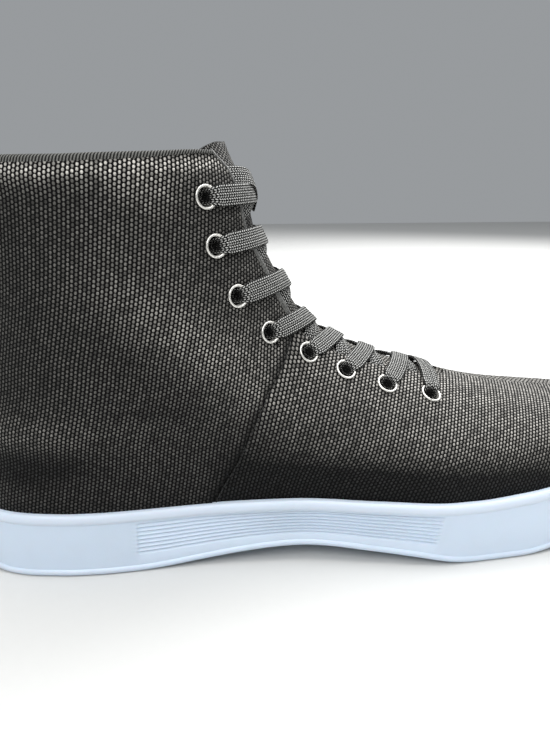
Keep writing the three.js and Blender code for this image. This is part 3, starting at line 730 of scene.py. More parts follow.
class Graph:
    """Adds nodes to a node tree and joins them."""

    def __init__(self, tree: bpy.types.NodeTree) -> None:
        """Take a node tree.

        Args:
            tree: The tree to add to.
        """
        self.tree = tree
        self.count = 0

    def add(self, kind: str, inputs: dict | None = None, **settings: object) -> bpy.types.Node:
        """Add one node, with its settings and inputs.

        Args:
            kind: Type of the node.
            inputs: Values or sockets by name or number of the input.
            **settings: Properties of the node.

        Returns:
            The node.
        """
        node = self.tree.nodes.new(kind)
        node.location = (180 * (self.count % 12), -220 * (self.count // 12))
        self.count += 1
        for key, value in settings.items():
            setattr(node, key, value)
        for key, value in (inputs or {}).items():
            self.feed(node.inputs[key], value)
        return node

    def feed(self, socket: bpy.types.NodeSocket, value: object) -> None:
        """Give an input a value or a link."""
        if isinstance(value, bpy.types.NodeSocket):
            self.tree.links.new(value, socket)
        else:
            socket.default_value = value

    def math(self, operation: str, *values: object) -> bpy.types.NodeSocket:
        """Add one sum on numbers."""
        node = self.add("ShaderNodeMath", operation=operation)
        for socket, value in zip(node.inputs, values):
            self.feed(socket, value)
        return node.outputs[0]

    def blend(self, share: object, first: object, second: object) -> bpy.types.NodeSocket:
        """Mix two colours."""
        node = self.add("ShaderNodeMix", data_type="RGBA")
        self.feed(node.inputs[0], share)
        for socket, value in ((node.inputs[6], first), (node.inputs[7], second)):
            self.feed(socket, (*value, 1.0) if isinstance(value, tuple) and len(value) == 3 else value)
        return node.outputs[2]

    def between(self, share: object, first: object, second: object) -> bpy.types.NodeSocket:
        """Mix two numbers."""
        node = self.add("ShaderNodeMix", data_type="FLOAT")
        self.feed(node.inputs[0], share)
        self.feed(node.inputs[2], first)
        self.feed(node.inputs[3], second)
        return node.outputs[0]

    def step(self, value: object, low: float, high: float) -> bpy.types.NodeSocket:
        """Step softly from 0 at low to 1 at high."""
        node = self.add("ShaderNodeMapRange", interpolation_type="SMOOTHSTEP")
        self.feed(node.inputs["Value"], value)
        node.inputs["From Min"].default_value = low
        node.inputs["From Max"].default_value = high
        return node.outputs["Result"]

    def scaled(self, value: object, factor: float, base: float) -> bpy.types.NodeSocket:
        """Give a number times a factor, plus a base."""
        return self.math("ADD", base, self.math("MULTIPLY", value, factor))

    def less(self, value: object, factor: float) -> bpy.types.NodeSocket:
        """Give 1 less a number times a factor."""
        return self.math("SUBTRACT", 1.0, self.math("MULTIPLY", value, factor))

    def noise(
        self, place: object, scale: float, detail: float = 2.0, rough: float = 0.5
    ) -> bpy.types.NodeSocket:
        """Add a noise of about one unit high."""
        inputs = {"Vector": place, "Scale": scale, "Detail": detail, "Roughness": rough}
        return self.add("ShaderNodeTexNoise", inputs).outputs["Fac"]

    def apart(self, place: object) -> tuple:
        """Split a vector."""
        node = self.add("ShaderNodeSeparateXYZ", {0: place})
        return node.outputs[0], node.outputs[1], node.outputs[2]

    def together(self, x: object, y: object, z: object = 0.0) -> bpy.types.NodeSocket:
        """Join numbers into a vector."""
        return self.add("ShaderNodeCombineXYZ", {0: x, 1: y, 2: z}).outputs[0]

    def object_place(self) -> bpy.types.NodeSocket:
        """Read the places of the piece itself."""
        return self.add("ShaderNodeTexCoord").outputs["Object"]

    def raise_by(
        self, shader: bpy.types.Node, height: object, strength: float, distance: float
    ) -> None:
        """Let the light read a height.

        Args:
            shader: Shader of the surface.
            height: The height, about 0 to 1.
            strength: Share of it that shows.
            distance: Metres that a height of 1 stands for.
        """
        inputs = {"Height": height, "Strength": strength, "Distance": distance}
        self.feed(shader.inputs["Normal"], self.add("ShaderNodeBump", inputs).outputs[0])

    def attribute(self, name: str) -> bpy.types.NodeSocket:
        """Read a number painted on the mesh."""
        return self.add("ShaderNodeAttribute", attribute_name=name).outputs["Fac"]


class Groups:
    """Shader groups shared by the finishes."""

    def __init__(self) -> None:
        """Make the groups."""
        self.canvas = self.weave()
        self.braid = self.plait()
        self.grain = self.rubber_grain()

    def begin(self, name: str, inputs: Sequence[tuple], outputs: Sequence[str]) -> tuple:
        """Open a new group.

        Args:
            name: Name of the group.
            inputs: Name, socket type and default of each input.
            outputs: Names of the number outputs.

        Returns:
            The tree, its graph, its input node and its output node.
        """
        tree = bpy.data.node_groups.new(name, "ShaderNodeTree")
        for label, kind, default in inputs:
            socket = tree.interface.new_socket(label, in_out="INPUT", socket_type=kind)
            if default is not None:
                socket.default_value = default
        for label in outputs:
            tree.interface.new_socket(label, in_out="OUTPUT", socket_type="NodeSocketFloat")
        graph = Graph(tree)
        return tree, graph, graph.add("NodeGroupInput"), graph.add("NodeGroupOutput")

    def weave(self) -> bpy.types.NodeTree:
        """Make the plain weave: oval floats in columns, each column half a float past its neighbour."""
        floats = "NodeSocketFloat"
        inputs = [("Place", "NodeSocketVector", None)]
        inputs += [("Across", floats, 0.0017), ("Along", floats, 0.0018)]
        tree, g, take, give = self.begin("canvas_weave", inputs, ["Float", "Height", "Thread"])
        u, v, _ = g.apart(take.outputs["Place"])
        wobble = g.math("SUBTRACT", g.noise(take.outputs["Place"], 160.0, 1.0), 0.5)
        across = g.math("DIVIDE", u, take.outputs["Across"])
        across = g.math("ADD", across, g.math("MULTIPLY", wobble, 0.16))
        column = g.math("FLOOR", across)
        shift = g.math("MULTIPLY", g.math("FLOORED_MODULO", column, 2.0), 0.5)
        wander = g.noise(g.together(column, g.math("MULTIPLY", v, 90.0)), 0.9, 1.0)
        along = g.math("ADD", g.math("DIVIDE", v, take.outputs["Along"]), shift)
        along = g.math("ADD", along, g.math("MULTIPLY", wander, 0.14))
        row = g.math("FLOOR", along)
        x = g.math("ABSOLUTE", g.math("SUBTRACT", g.math("FRACT", across), 0.5))
        y = g.math("ABSOLUTE", g.math("SUBTRACT", g.math("FRACT", along), 0.5))
        x = g.math("POWER", g.math("MULTIPLY", x, 2.75), 2.2)
        y = g.math("POWER", g.math("MULTIPLY", y, 2.32), 2.2)
        dome = g.math("SUBTRACT", 1.0, g.math("ADD", x, y))
        dome = g.math("POWER", g.math("MAXIMUM", dome, 0.0), 0.6)
        tint = g.add("ShaderNodeTexWhiteNoise", {"Vector": g.together(column, row)}, noise_dimensions="2D")
        thread = tint.outputs["Value"]
        g.feed(give.inputs["Float"], g.step(dome, 0.05, 0.75))
        g.feed(give.inputs["Height"], g.math("MULTIPLY", dome, g.scaled(thread, 0.3, 0.8)))
        g.feed(give.inputs["Thread"], thread)
        return tree

    def plait(self) -> bpy.types.NodeTree:
        """Make the braid of the laces: rows of slanted stitches in narrow ribs."""
        floats = "NodeSocketFloat"
        inputs = [("Place", "NodeSocketVector", None)]
        inputs += [("Rib", floats, 0.0015), ("Stitch", floats, 0.0011)]
        tree, g, take, give = self.begin("lace_braid", inputs, ["Stitch", "Height", "Thread"])
        u, v, _ = g.apart(take.outputs["Place"])
        across = g.math("ADD", g.math("DIVIDE", u, take.outputs["Rib"]), 0.5)
        rib = g.math("FLOOR", across)
        local = g.math("SUBTRACT", g.math("FRACT", across), 0.5)
        lean = g.math("ABSOLUTE", local)
        along = g.math("DIVIDE", v, take.outputs["Stitch"])
        along = g.math("ADD", along, g.math("MULTIPLY", lean, 1.1))
        along = g.math("ADD", along, g.math("MULTIPLY", g.math("FLOORED_MODULO", rib, 2.0), 0.5))
        row = g.math("FLOOR", along)
        y = g.math("ABSOLUTE", g.math("SUBTRACT", g.math("FRACT", along), 0.5))
        half = g.math("ABSOLUTE", g.math("SUBTRACT", lean, 0.25))
        x = g.math("POWER", g.math("MULTIPLY", half, 3.9), 2.0)
        y = g.math("POWER", g.math("MULTIPLY", y, 2.2), 2.0)
        dome = g.math("MAXIMUM", g.math("SUBTRACT", 1.0, g.math("ADD", x, y)), 0.0)
        dome = g.math("POWER", dome, 0.6)
        place = g.together(g.math("ADD", rib, g.math("SIGN", local)), row)
        tint = g.add("ShaderNodeTexWhiteNoise", {"Vector": place}, noise_dimensions="2D")
        g.feed(give.inputs["Stitch"], g.step(dome, 0.5, 0.97))
        g.feed(give.inputs["Height"], dome)
        g.feed(give.inputs["Thread"], tint.outputs["Value"])
        return tree

    def rubber_grain(self) -> bpy.types.NodeTree:
        """Make the faint grain and soiling of rubber from a mould."""
        inputs = [("Place", "NodeSocketVector", None)]
        tree, g, take, give = self.begin("rubber_grain", inputs, ["Grain", "Soil"])
        fine = g.noise(take.outputs["Place"], 1400.0, 2.0)
        broad = g.noise(take.outputs["Place"], 45.0, 3.0, 0.6)
        g.feed(give.inputs["Grain"], fine)
        g.feed(give.inputs["Soil"], g.step(broad, 0.45, 0.75))
        return tree


def new_material(name: str) -> tuple:
    """Open a material.

    Args:
        name: Name of the material.

    Returns:
        The material, its graph and its shader node.
    """
    material = bpy.data.materials.new(name)
    material.use_nodes = True
    return material, Graph(material.node_tree), material.node_tree.nodes["Principled BSDF"]


class Finishes:
    """The materials of the shoe."""

    def __init__(self) -> None:
        """Make the shared groups and every material."""
        self.groups = Groups()
        self.canvas = self.canvas_material("waxed_canvas", 1.47 * MM, 1.59 * MM)
        self.vamp_canvas = self.canvas_material("waxed_canvas_vamp", 1.58 * MM, 1.88 * MM)
        self.lining = self.lining_material("lining_textile")
        self.rubber = self.rubber_material("white_rubber")
        self.tape = self.tape_material("binding_tape")
        # painted highlight: the folded edge of the black canvas is given a light grey
        self.edge = self.fibre_material("rolled_edge", srgb(44, 44, 43), srgb(106, 106, 103), 0.45)
        self.thread = self.fibre_material("seam_thread", srgb(5, 5, 5), srgb(26, 26, 25), 0.7)
        self.lace = self.lace_material("black_lace")
        self.metal = self.metal_material("eyelet_metal")

    def cloth_place(self, g: Graph) -> bpy.types.NodeSocket:
        """Read the cloth's own texture places."""
        return g.add("ShaderNodeUVMap", uv_map="cloth").outputs[0]

    def canvas_material(self, name: str, across: float, along: float) -> bpy.types.Material:
        """Make black canvas whose thread floats carry a painted sheen."""
        material, g, shader = new_material(name)
        place = self.cloth_place(g)
        weave = g.add("ShaderNodeGroup", node_tree=self.groups.canvas)
        g.feed(weave.inputs["Place"], place)
        weave.inputs["Across"].default_value = across
        weave.inputs["Along"].default_value = along
        sheen_and_smear, pressed_and_shaded = g.attribute("sheen_and_smear"), g.attribute("pressed_and_shaded")
        fibre = g.noise(place, 2600.0, 2.0, 0.6)
        patch = g.noise(place, 60.0, 3.0, 0.6)
        light = g.math("MULTIPLY", weave.outputs["Float"], g.scaled(weave.outputs["Thread"], 0.65, 0.35))
        light = g.math("MULTIPLY", light, g.scaled(fibre, 1.05, 0.42))
        # the painted shade above the sole and the real flattening by the seam dim the floats
        light = g.math("MULTIPLY", light, g.less(pressed_and_shaded, 0.82))
        # painted sheen: the floats go from dark grey to near white where the sheen map is high
        floats = g.blend(sheen_and_smear, srgb(46, 46, 45), srgb(222, 218, 210))
        wear_and_sheen = g.math("MULTIPLY", light, g.scaled(patch, 0.5, 0.75))
        lint = g.step(g.noise(place, 900.0, 4.0, 0.75), 0.72, 0.8)
        # painted shade: the canvas goes near-black round and under the eyelets
        shown = g.math("SUBTRACT", 1.0, g.attribute("painted_shade"))
        colour = g.blend(wear_and_sheen, srgb(7, 7, 7), floats)
        colour = g.blend(g.math("MULTIPLY", lint, 0.5), colour, srgb(150, 150, 146))
        g.feed(shader.inputs["Base Color"], g.blend(shown, srgb(3, 3, 3), colour))
        g.feed(shader.inputs["Roughness"], g.between(weave.outputs["Float"], 0.9, 0.5))
        shader.inputs["Specular IOR Level"].default_value = 0.14
        height = g.math("ADD", weave.outputs["Height"], g.math("MULTIPLY", fibre, 0.18))
        height = g.math("MULTIPLY", height, g.less(pressed_and_shaded, 0.6))
        g.raise_by(shader, height, 1.0, 0.0004)
        return material

    def fibre_material(self, name: str, dark: tuple, light: tuple, roughness: float) -> bpy.types.Material:
        """Make the fibre of a folded edge or of thick thread; on the folded edge its light colour is a painted
        highlight.

        Args:
            name: Name of the material.
            dark: Colour between the fibres.
            light: Colour on the fibres.
            roughness: Roughness.

        Returns:
            The material.
        """
        material, g, shader = new_material(name)
        place = g.object_place()
        fibre = g.noise(place, 1600.0, 3.0, 0.7)
        wear_and_sheen = g.noise(place, 140.0, 2.0, 0.6)
        share = g.math("MULTIPLY", g.step(fibre, 0.3, 0.7), g.math("ADD", 0.5, wear_and_sheen))
        g.feed(shader.inputs["Base Color"], g.blend(share, dark, light))
        shader.inputs["Roughness"].default_value = roughness
        g.raise_by(shader, fibre, 0.5, 0.0003)
        return material

    def lining_material(self, name: str) -> bpy.types.Material:
        """Make the dark knitted lining."""
        material, g, shader = new_material(name)
        place = g.object_place()
        fibre = g.noise(place, 1500.0, 3.0, 0.7)
        g.feed(shader.inputs["Base Color"], g.blend(fibre, srgb(22, 22, 22), srgb(52, 52, 50)))
        shader.inputs["Roughness"].default_value = 0.95
        g.raise_by(shader, fibre, 0.6, 0.0004)
        return material

    def rubber_material(self, name: str) -> bpy.types.Material:
        """Make the slightly bluish white rubber."""
        material, g, shader = new_material(name)
        place = g.object_place()
        grain = g.add("ShaderNodeGroup", node_tree=self.groups.grain)
        g.feed(grain.inputs["Place"], place)
        soil = g.math("MULTIPLY", grain.outputs["Soil"], 0.25)
        # painted highlight: the top lip and the bottom bead get a slightly warmer white
        clean = g.blend(g.attribute("moulded"), srgb(199, 213, 229), srgb(202, 213, 227))
        g.feed(shader.inputs["Base Color"], g.blend(soil, clean, srgb(190, 203, 216)))
        shader.inputs["Roughness"].default_value = 0.42
        shader.inputs["Subsurface Weight"].default_value = 0.08
        shader.inputs["Subsurface Scale"].default_value = 0.003
        g.raise_by(shader, grain.outputs["Grain"], 0.12, 0.0002)
        return material

    def tape_material(self, name: str) -> bpy.types.Material:
        """Make the twill tape of the binding and edges."""
        material, g, shader = new_material(name)
        u, v, _ = g.apart(self.cloth_place(g))
        slant = g.math("ADD", g.math("DIVIDE", u, 0.0011), g.math("DIVIDE", v, 0.0012))
        wave = g.math("ABSOLUTE", g.math("SUBTRACT", g.math("FRACT", slant), 0.5))
        rib = g.step(wave, 0.08, 0.42)
        fibre = g.noise(self.cloth_place(g), 1800.0, 2.0, 0.6)
        light = g.math("MULTIPLY", rib, g.scaled(fibre, 0.7, 0.3))
        g.feed(shader.inputs["Base Color"], g.blend(light, srgb(9, 9, 9), srgb(138, 138, 134)))
        shader.inputs["Roughness"].default_value = 0.7
        shader.inputs["Specular IOR Level"].default_value = 0.15
        height = g.math("ADD", rib, g.math("MULTIPLY", fibre, 0.25))
        g.raise_by(shader, height, 0.8, 0.0003)
        return material

    def lace_material(self, name: str) -> bpy.types.Material:
        """Make the black braided lace, with a painted sheen on its stitches."""
        material, g, shader = new_material(name)
        place = self.cloth_place(g)
        braid = g.add("ShaderNodeGroup", node_tree=self.groups.braid)
        g.feed(braid.inputs["Place"], place)
        braid.inputs["Rib"].default_value = 1.9 * MM
        braid.inputs["Stitch"].default_value = 1.3 * MM
        fibre = g.noise(place, 3000.0, 2.0, 0.6)
        # painted sheen: the stitches of the black lace go near white
        light = g.math("MULTIPLY", braid.outputs["Stitch"], g.scaled(fibre, 0.85, 0.25))
        # painted shade: the stitches go dark where the lace enters its eyelet
        light = g.math("MULTIPLY", light, g.math("SUBTRACT", 1.0, g.attribute("painted_shade")))
        g.feed(shader.inputs["Base Color"], g.blend(light, srgb(2, 2, 2), srgb(228, 228, 224)))
        g.feed(shader.inputs["Roughness"], g.between(braid.outputs["Stitch"], 0.9, 0.42))
        shader.inputs["Specular IOR Level"].default_value = 0.16
        height = g.math("ADD", braid.outputs["Height"], g.math("MULTIPLY", fibre, 0.2))
        g.raise_by(shader, height, 1.0, 0.00045)
        return material

    def metal_material(self, name: str) -> bpy.types.Material:
        """Make the pale nickel of the eyelets."""
        material, g, shader = new_material(name)
        place = g.object_place()
        shader.inputs["Base Color"].default_value = (*srgb(226, 224, 218), 1.0)
        shader.inputs["Metallic"].default_value = 0.75
        g.feed(shader.inputs["Roughness"], g.between(g.noise(place, 400.0), 0.25, 0.4))
        return material


class Wrap:
    """Length round the shoe at a height, from the middle of the back."""

    def __init__(self, side: Side) -> None:
        """Measure the form at a set of heights.

        Args:
            side: Side of the foot.
        """
        self.heights = np.linspace(5 * MM, 172 * MM, 60)
        self.reach = 170 * MM
        self.columns = 320
        share = np.linspace(0, 1, self.columns)[None]
        x = LAST.back_at(self.heights)[:, None] + share**2 * self.reach
        z = np.broadcast_to(self.heights[:, None], x.shape)
        number, down = LAST.find(x, z)
        y = LAST.at(number, down, side)[..., 1]
        y = np.where(down >= 1.0, 0, y)
        steps = np.hypot(np.diff(x, axis=1), np.diff(y, axis=1))
        self.table = np.concatenate([np.zeros((len(self.heights), 1)), np.cumsum(steps, axis=1)], axis=1)

    def at(self, x: Array, z: Array) -> Array:
        """Give the length round at x and z."""
        columns = np.sqrt(np.clip((x - LAST.back_at(z)) / self.reach, 0, 1)) * (self.columns - 1)
        columns = np.clip(columns, 0, self.columns - 1.001)
        count = len(self.heights)
        rows = np.clip(np.interp(z, self.heights, np.arange(count)), 0, count - 1.001)
        i, j = rows.astype(int), columns.astype(int)
        a, b = rows - i, columns - j
        top = self.table[i, j] * (1 - b) + self.table[i, j + 1] * b
        low = self.table[i + 1, j] * (1 - b) + self.table[i + 1, j + 1] * b
        return top * (1 - a) + low * a


@dataclass
class Upper(Stock):
    """The canvas upper: a vamp, two rear quarters, their edges and the collar binding.

    Attributes:
        wall: Thickness of the cloth and its lining.
        step: How far the quarters stand over the vamp.
        binding: Height of the binding at the back.
    """

    wall: float = 1.8 * MM
    step: float = QUARTER_STEP
    binding: float = 3.6 * MM

    def canvas_piece(
        self, name: str, points: Array, uv: Array, normal: Array, doomed: Array, colours: dict
    ) -> bpy.types.Object:
        """Lay one sheet of canvas, paint it and cut its eyelet holes.

        Args:
            name: Name of the piece.
            points: Rows by columns by xyz.
            uv: Matching texture places.
            normal: Outward directions.
            doomed: Mask of the vertices inside the holes.
            colours: Numbers to paint, by name.

        Returns:
            The piece.
        """
        turned, uv = flip_if_inward(points, uv, normal)
        backwards = turned is not points
        # painted shade round the eyelet holes
        colours["painted_shade"] = ring_shade(points, self.step)
        piece = sheet_piece(name, turned, uv)
        for key, values in colours.items():
            paint(piece, key, values[:, ::-1] if backwards else values)
        delete_vertices(piece, (doomed[:, ::-1] if backwards else doomed).ravel())
        return piece

    def sheen_and_smear(self, points: Array, normal: Array) -> Array:
        """Give the painted sheen on the threads, with one real smear: most where the cloth faces up, with
        painted highlights under the collar, on the instep, at the front corner and on raised creases.
        """
        # painted sheen: lighter where the cloth faces up
        up = smooth(0.02, 0.98, normal[..., 2]) ** 1.6
        x, z = points[..., 0], points[..., 2]
        collar = np.exp(-(((LAST.rim_top(x) - z - 4.9 * MM) / (2.3 * MM)) ** 2))
        instep = bump_line(x, z, [(62, 122, 0.3), (84, 102, 0.8), (104, 88, 1), (132, 76, 0.6)], 17 * MM, 0.25)
        corner = bump_line(x, z, [(72, 152, 1), (82, 150, 1)], 7 * MM, 0.45)
        plain = 0.08 + 0.11 * smooth(20 * MM, 75 * MM, x) * smooth(30 * MM, 80 * MM, z)
        plain *= 1 - smooth(92 * MM, 112 * MM, x) * (1 - smooth(40 * MM, 70 * MM, z))
        smear = bump_line(x, z, [(116, 72, 0.8), (128, 66, 1), (134, 60, 0.4)], 6 * MM, 0.2)
        wear_and_sheen = smear + plain + 0.5 * up + 0.75 * collar + instep + corner
        return np.clip(wear_and_sheen + 150 * relief(x, z), 0, 1)

    def pressed_and_shaded(self, points: Array, width: float) -> Array:
        """Give how far the weave is flattened in a band along the seam, and a painted shade that dims and
        flattens the floats in a band just above the sole.
        """
        ahead = points[..., 0] - LAST.seam_at(points[..., 2] / LAST.collar) * LENGTH
        edge = np.exp(-((ahead / width) ** 2))
        # painted shade: darker in a band just above the sole
        low = 1 - smooth(0, 9 * MM, points[..., 2] - LAST.height("top", points[..., 0]))
        return np.clip(edge * (points[..., 2] < 0.62 * LAST.collar) + 0.45 * low, 0, 1)

    def quarter_start(self, number: Array, side: Side) -> Array:
        """Give the front edge of a quarter, at the throat or at the seam."""
        throat = LAST.throat_turn(number, side)
        return np.maximum(throat, LAST.seam_turn(number, side))

    def quarter(self, side: Side) -> bpy.types.Object:
        """Lay the cloth of one rear quarter, from the throat and the seam round to the middle of the back."""
        table = np.linspace(0.4, 9.6, 1200)
        start = self.quarter_start(table, side)
        floor = LAST.floor_turn(table, side, 0.3 * MM)
        end = np.minimum(floor, LAST.back_turn(table, side))
        last = table[np.argmax(start >= end - 0.004)]
        a = np.linspace(0, 1, 128) ** 1.15
        b = np.linspace(0, 1, 148)

        def turn_at(number: Array) -> Array:
            low = np.interp(number, table, start)
            return low + (np.interp(number, table, end) - low) * a

        def below_rim(number: Array) -> Array:
            point = LAST.turned(number, turn_at(number), side)
            return point[..., 2] < LAST.rim_top(point[..., 0]) - 1.2 * MM

        rim = narrowed(np.full_like(a, 0.4), np.full_like(a, 4.0), 30, below_rim)
        number = rim[None] + b[:, None] * (last - rim[None])
        turn = np.interp(number, table, start)
        turn = turn + (np.interp(number, table, end) - turn) * a[None]
        plain = LAST.turned(number, turn, side)
        x, z = plain[..., 0], plain[..., 2]
        swell = relief(x, z) * smooth(0.04, 0.2, turn - np.interp(number, table, start))
        points = LAST.lifted(number, turn, side, self.step + swell)
        behind = np.zeros(turn.shape, bool)
        behind[:, -1] = np.interp(number[:, -1], table, floor) > 1 - 1e-6
        middle = np.stack([LAST.back_at(z) - self.step - swell, np.zeros_like(turn), z], -1)
        points = np.where(behind[..., None], middle, points)
        normal = LAST.normal(number, turn, side)
        wrap = np.where(behind, 0.0, Wrap(side).at(x, z))
        lean = math.radians(7.6)
        across = wrap * math.cos(lean) - z * math.sin(lean)
        uv = np.stack([across * side.value, z * math.cos(lean) + wrap * math.sin(lean)], -1)
        colours = {"sheen_and_smear": self.sheen_and_smear(plain, normal), "pressed_and_shaded": self.pressed_and_shaded(plain, 2.2 * MM)}
        centres = [eyelet_centre(i, side, self.step) for i in range(4)]
        points, doomed = punch(points, centres, EYELET_HOLE)
        return self.canvas_piece(f"quarter_{side.name.lower()}", points, uv, normal, doomed, colours)

    def quarters(self) -> bpy.types.Object:
        """Join the two rear quarters down the back and give them their wall and lining."""
        piece = join("upper_quarters", [self.quarter(side) for side in Side])
        weld(piece, 0.03 * MM)
        piece.data.materials.append(self.finishes.canvas)
        piece.data.materials.append(self.finishes.lining)
        apply_modifier(piece, "SOLIDIFY", thickness=self.wall + self.step, offset=-1.0, material_offset=1)
        smooth_shade(piece, 50)
        return piece

    def vamp(self) -> bpy.types.Object:
        """Make the vamp, from under the quarters to the toe."""
        sides = []
        margin = 3 * MM
        table = np.linspace(4.0, 17.0, 1400)
        tip = THROAT[-1][0]
        for side in Side:

            def behind(t: Array) -> Array:
                point = LAST.turned(table, t, side)
                return LAST.seam_at(point[..., 2] / LAST.collar) * LENGTH - margin - point[..., 0]

            start = np.where(table < tip, LAST.throat_turn(np.minimum(table, tip), side), 0)
            seam = LAST.solve_turn(table, behind)
            end = np.minimum(np.where(table < 11, seam, 1), LAST.floor_turn(table, side, 0.3 * MM))
            first = table[np.argmax(end > start + 0.004)]
            number = first + (LAST.last_section - first) * np.linspace(0, 1, 210)[:, None] ** 0.94
            a = np.linspace(0, 1, 96)[None]
            low, high = np.interp(number, table, start), np.interp(number, table, end)
            turn = low + (high - low) * a
            number = np.broadcast_to(number, turn.shape)
            plain = LAST.turned(number, turn, side)
            swell = relief(plain[..., 0], plain[..., 2]) * smooth(0, 0.05, turn)
            points = LAST.lifted(number, turn, side, swell)
            normal = LAST.normal(number, turn, side)
            steps = np.linalg.norm(np.diff(points, axis=1), axis=-1)
            down = np.concatenate([points[:, :1, 1] * side.value, steps], axis=1).cumsum(axis=1)
            ahead = points[..., 0] - 145 * MM
            tilt = np.tan(np.radians(17 + 100 * np.clip(ahead, -0.05, 0.10)))
            fall = -0.091 * ahead + 1.6 * ahead**2
            uv = np.stack([points[..., 0] + tilt * down, (down - fall) * side.value], -1)
            colours = {"sheen_and_smear": self.sheen_and_smear(plain, normal), "pressed_and_shaded": self.pressed_and_shaded(plain, 1.2 * MM)}
            centres = [eyelet_centre(i, side, 0.0) for i in range(4, 8)]
            points, doomed = punch(points, centres, EYELET_HOLE)
            name = f"vamp_{side.name.lower()}"
            sides.append(self.canvas_piece(name, points, uv, normal, doomed, colours))
        vamp = join("upper_vamp", sides)
        weld(vamp, 0.03 * MM)
        vamp.data.materials.append(self.finishes.vamp_canvas)
        vamp.data.materials.append(self.finishes.lining)
        apply_modifier(vamp, "SOLIDIFY", thickness=self.wall, offset=-1.0, material_offset=1)
        smooth_shade(vamp, 50)
        return vamp

    def rim_number(self, turn: Array, side: Side, drop: Array) -> Array:
        """Find the section whose point at a turn lies a drop below the rim."""

        def below(number: Array) -> Array:
            point = LAST.turned(number, turn, side)
            return point[..., 2] < LAST.rim_top(point[..., 0]) - drop

        return narrowed(np.full_like(turn, 0.3), np.full_like(turn, 4.0), 30, below)

    def collar(self) -> bpy.types.Object:
        """Make the binding that folds over the collar's edge."""
        out, inner = self.step + 0.45 * MM, -self.wall - 0.45 * MM
        shape = [(1.0, self.step - 0.1 * MM), (1.0, out - 0.15 * MM), (0.9, out), (0.55, out + 0.1 * MM)]
        shape += [(0.3, out), (0.12, out - 0.35 * MM), (0.03, out - 0.8 * MM), (0.0, (out + inner) / 2)]
        shape += [(0.03, inner + 0.8 * MM), (0.12, inner + 0.35 * MM), (0.3, inner), (0.9, inner)]
        shape += [(1.0, inner + 0.15 * MM), (1.0, -self.wall + 0.1 * MM), (1.0, self.step - 0.1 * MM)]
        sides = []
        for side in Side:
            number = np.array([1.1])
            front = LAST.throat_turn(number, side)[0]
            turn = np.linspace(front, 1, 160)
            rows = []
            for share, lift in shape:
                base = LAST.turned(self.rim_number(turn, side, np.zeros_like(turn)), turn, side)
                high = self.binding * LAST.rim_band(base[..., 0] / LENGTH)
                at = self.rim_number(turn, side, share * high)
                rows.append(LAST.lifted(at, turn, side, np.full_like(turn, lift)))
            points = np.stack(rows, 1)
            sides.append(points if side is Side.LATERAL else points[::-1])
        points = np.concatenate([sides[0], sides[1][1:]])
        points[len(sides[0]) - 1, :, 1] = 0
        ends = points.mean(axis=1, keepdims=True)[[0, -1]].repeat(points.shape[1], 1)
        points = np.concatenate([ends[:1], points, ends[1:]])
        across, along = run_length(points[5]), run_length(points[:, 4])
        uv = np.stack(np.broadcast_arrays(along[:, None], across[None]), -1)
        piece = sheet_piece("collar_tape", points, uv, closed=True)
        smooth_shade(piece, 60)
        return piece

    def throat_edge(self, side: Side) -> bpy.types.Object:
        """Make the rolled edge down one side of the throat, as far as the seam."""
        number = np.linspace(1.12, 6.3, 260)
        throat = LAST.throat_turn(number, side)
        number = number[throat >= LAST.seam_turn(number, side) - 0.004]
        turn = LAST.throat_turn(number, side)
        points = LAST.lifted(number, turn, side, np.full_like(turn, self.step - 0.35 * MM))
        angles = np.linspace(0, 2 * np.pi, 15)[:-1]
        profile = np.stack([np.cos(angles) * 1.0 * MM, np.sin(angles) * 0.75 * MM], -1)
        wide = mix(0.75, 1.55, smooth(1.1, 5.5, number))
        name = f"throat_edge_{side.name.lower()}"
        piece = sweep(name, points, LAST.normal(number, turn, side), profile, wide)
        smooth_shade(piece, 60)
        return piece

    def seam(self, side: Side) -> bpy.types.Object:
        """Make the row of stitches ahead of the seam of one side."""
        table = np.linspace(5.2, 9.6, 500)
        turn = LAST.seam_turn(table, side)
        low, high = LAST.throat_turn(table, side), LAST.floor_turn(table, side, 0.0)
        keep = (turn > low + 0.01) & (turn < high - 0.01)
        table, turn = table[keep], turn[keep]
        line = LAST.turned(table, turn, side)
        length = run_length(line)
        angles = np.linspace(0, 2 * np.pi, 9)[:-1]
        profile = np.stack([np.cos(angles), np.sin(angles)], -1) * 0.3 * MM
        stitches = []
        for start in np.arange(2 * MM, length[-1] - 2 * MM, 2.6 * MM):
            at = np.linspace(start, start + 1.9 * MM, 7)
            number = np.interp(at, length, table) + 0.055
            number = np.minimum(number, table[-1])
            share = np.interp(at, length, turn)
            arch = np.array([-0.25, 0.08, 0.18, 0.2, 0.18, 0.08, -0.25]) * MM
            points = LAST.lifted(number, share, side, arch)
            stitches.append(sweep("stitch", points, LAST.normal(number, share, side), profile))
        piece = join(f"seam_stitches_{side.name.lower()}", stitches)
        smooth_shade(piece, 60)
        return piece

    def build(self) -> None:
        """Make the pieces of the upper."""
        self.place(self.quarters(), ["upper"], "waxed_canvas", self.finishes.canvas)
        self.place(self.vamp(), ["upper"], "waxed_canvas", self.finishes.vamp_canvas)
        self.place(self.collar(), ["collar_binding"], "binding_tape", self.finishes.tape)
        for side in Side:
            self.place(self.throat_edge(side), ["upper"], "waxed_canvas", self.finishes.edge)
            self.place(self.seam(side), ["upper"], "waxed_canvas", self.finishes.thread)


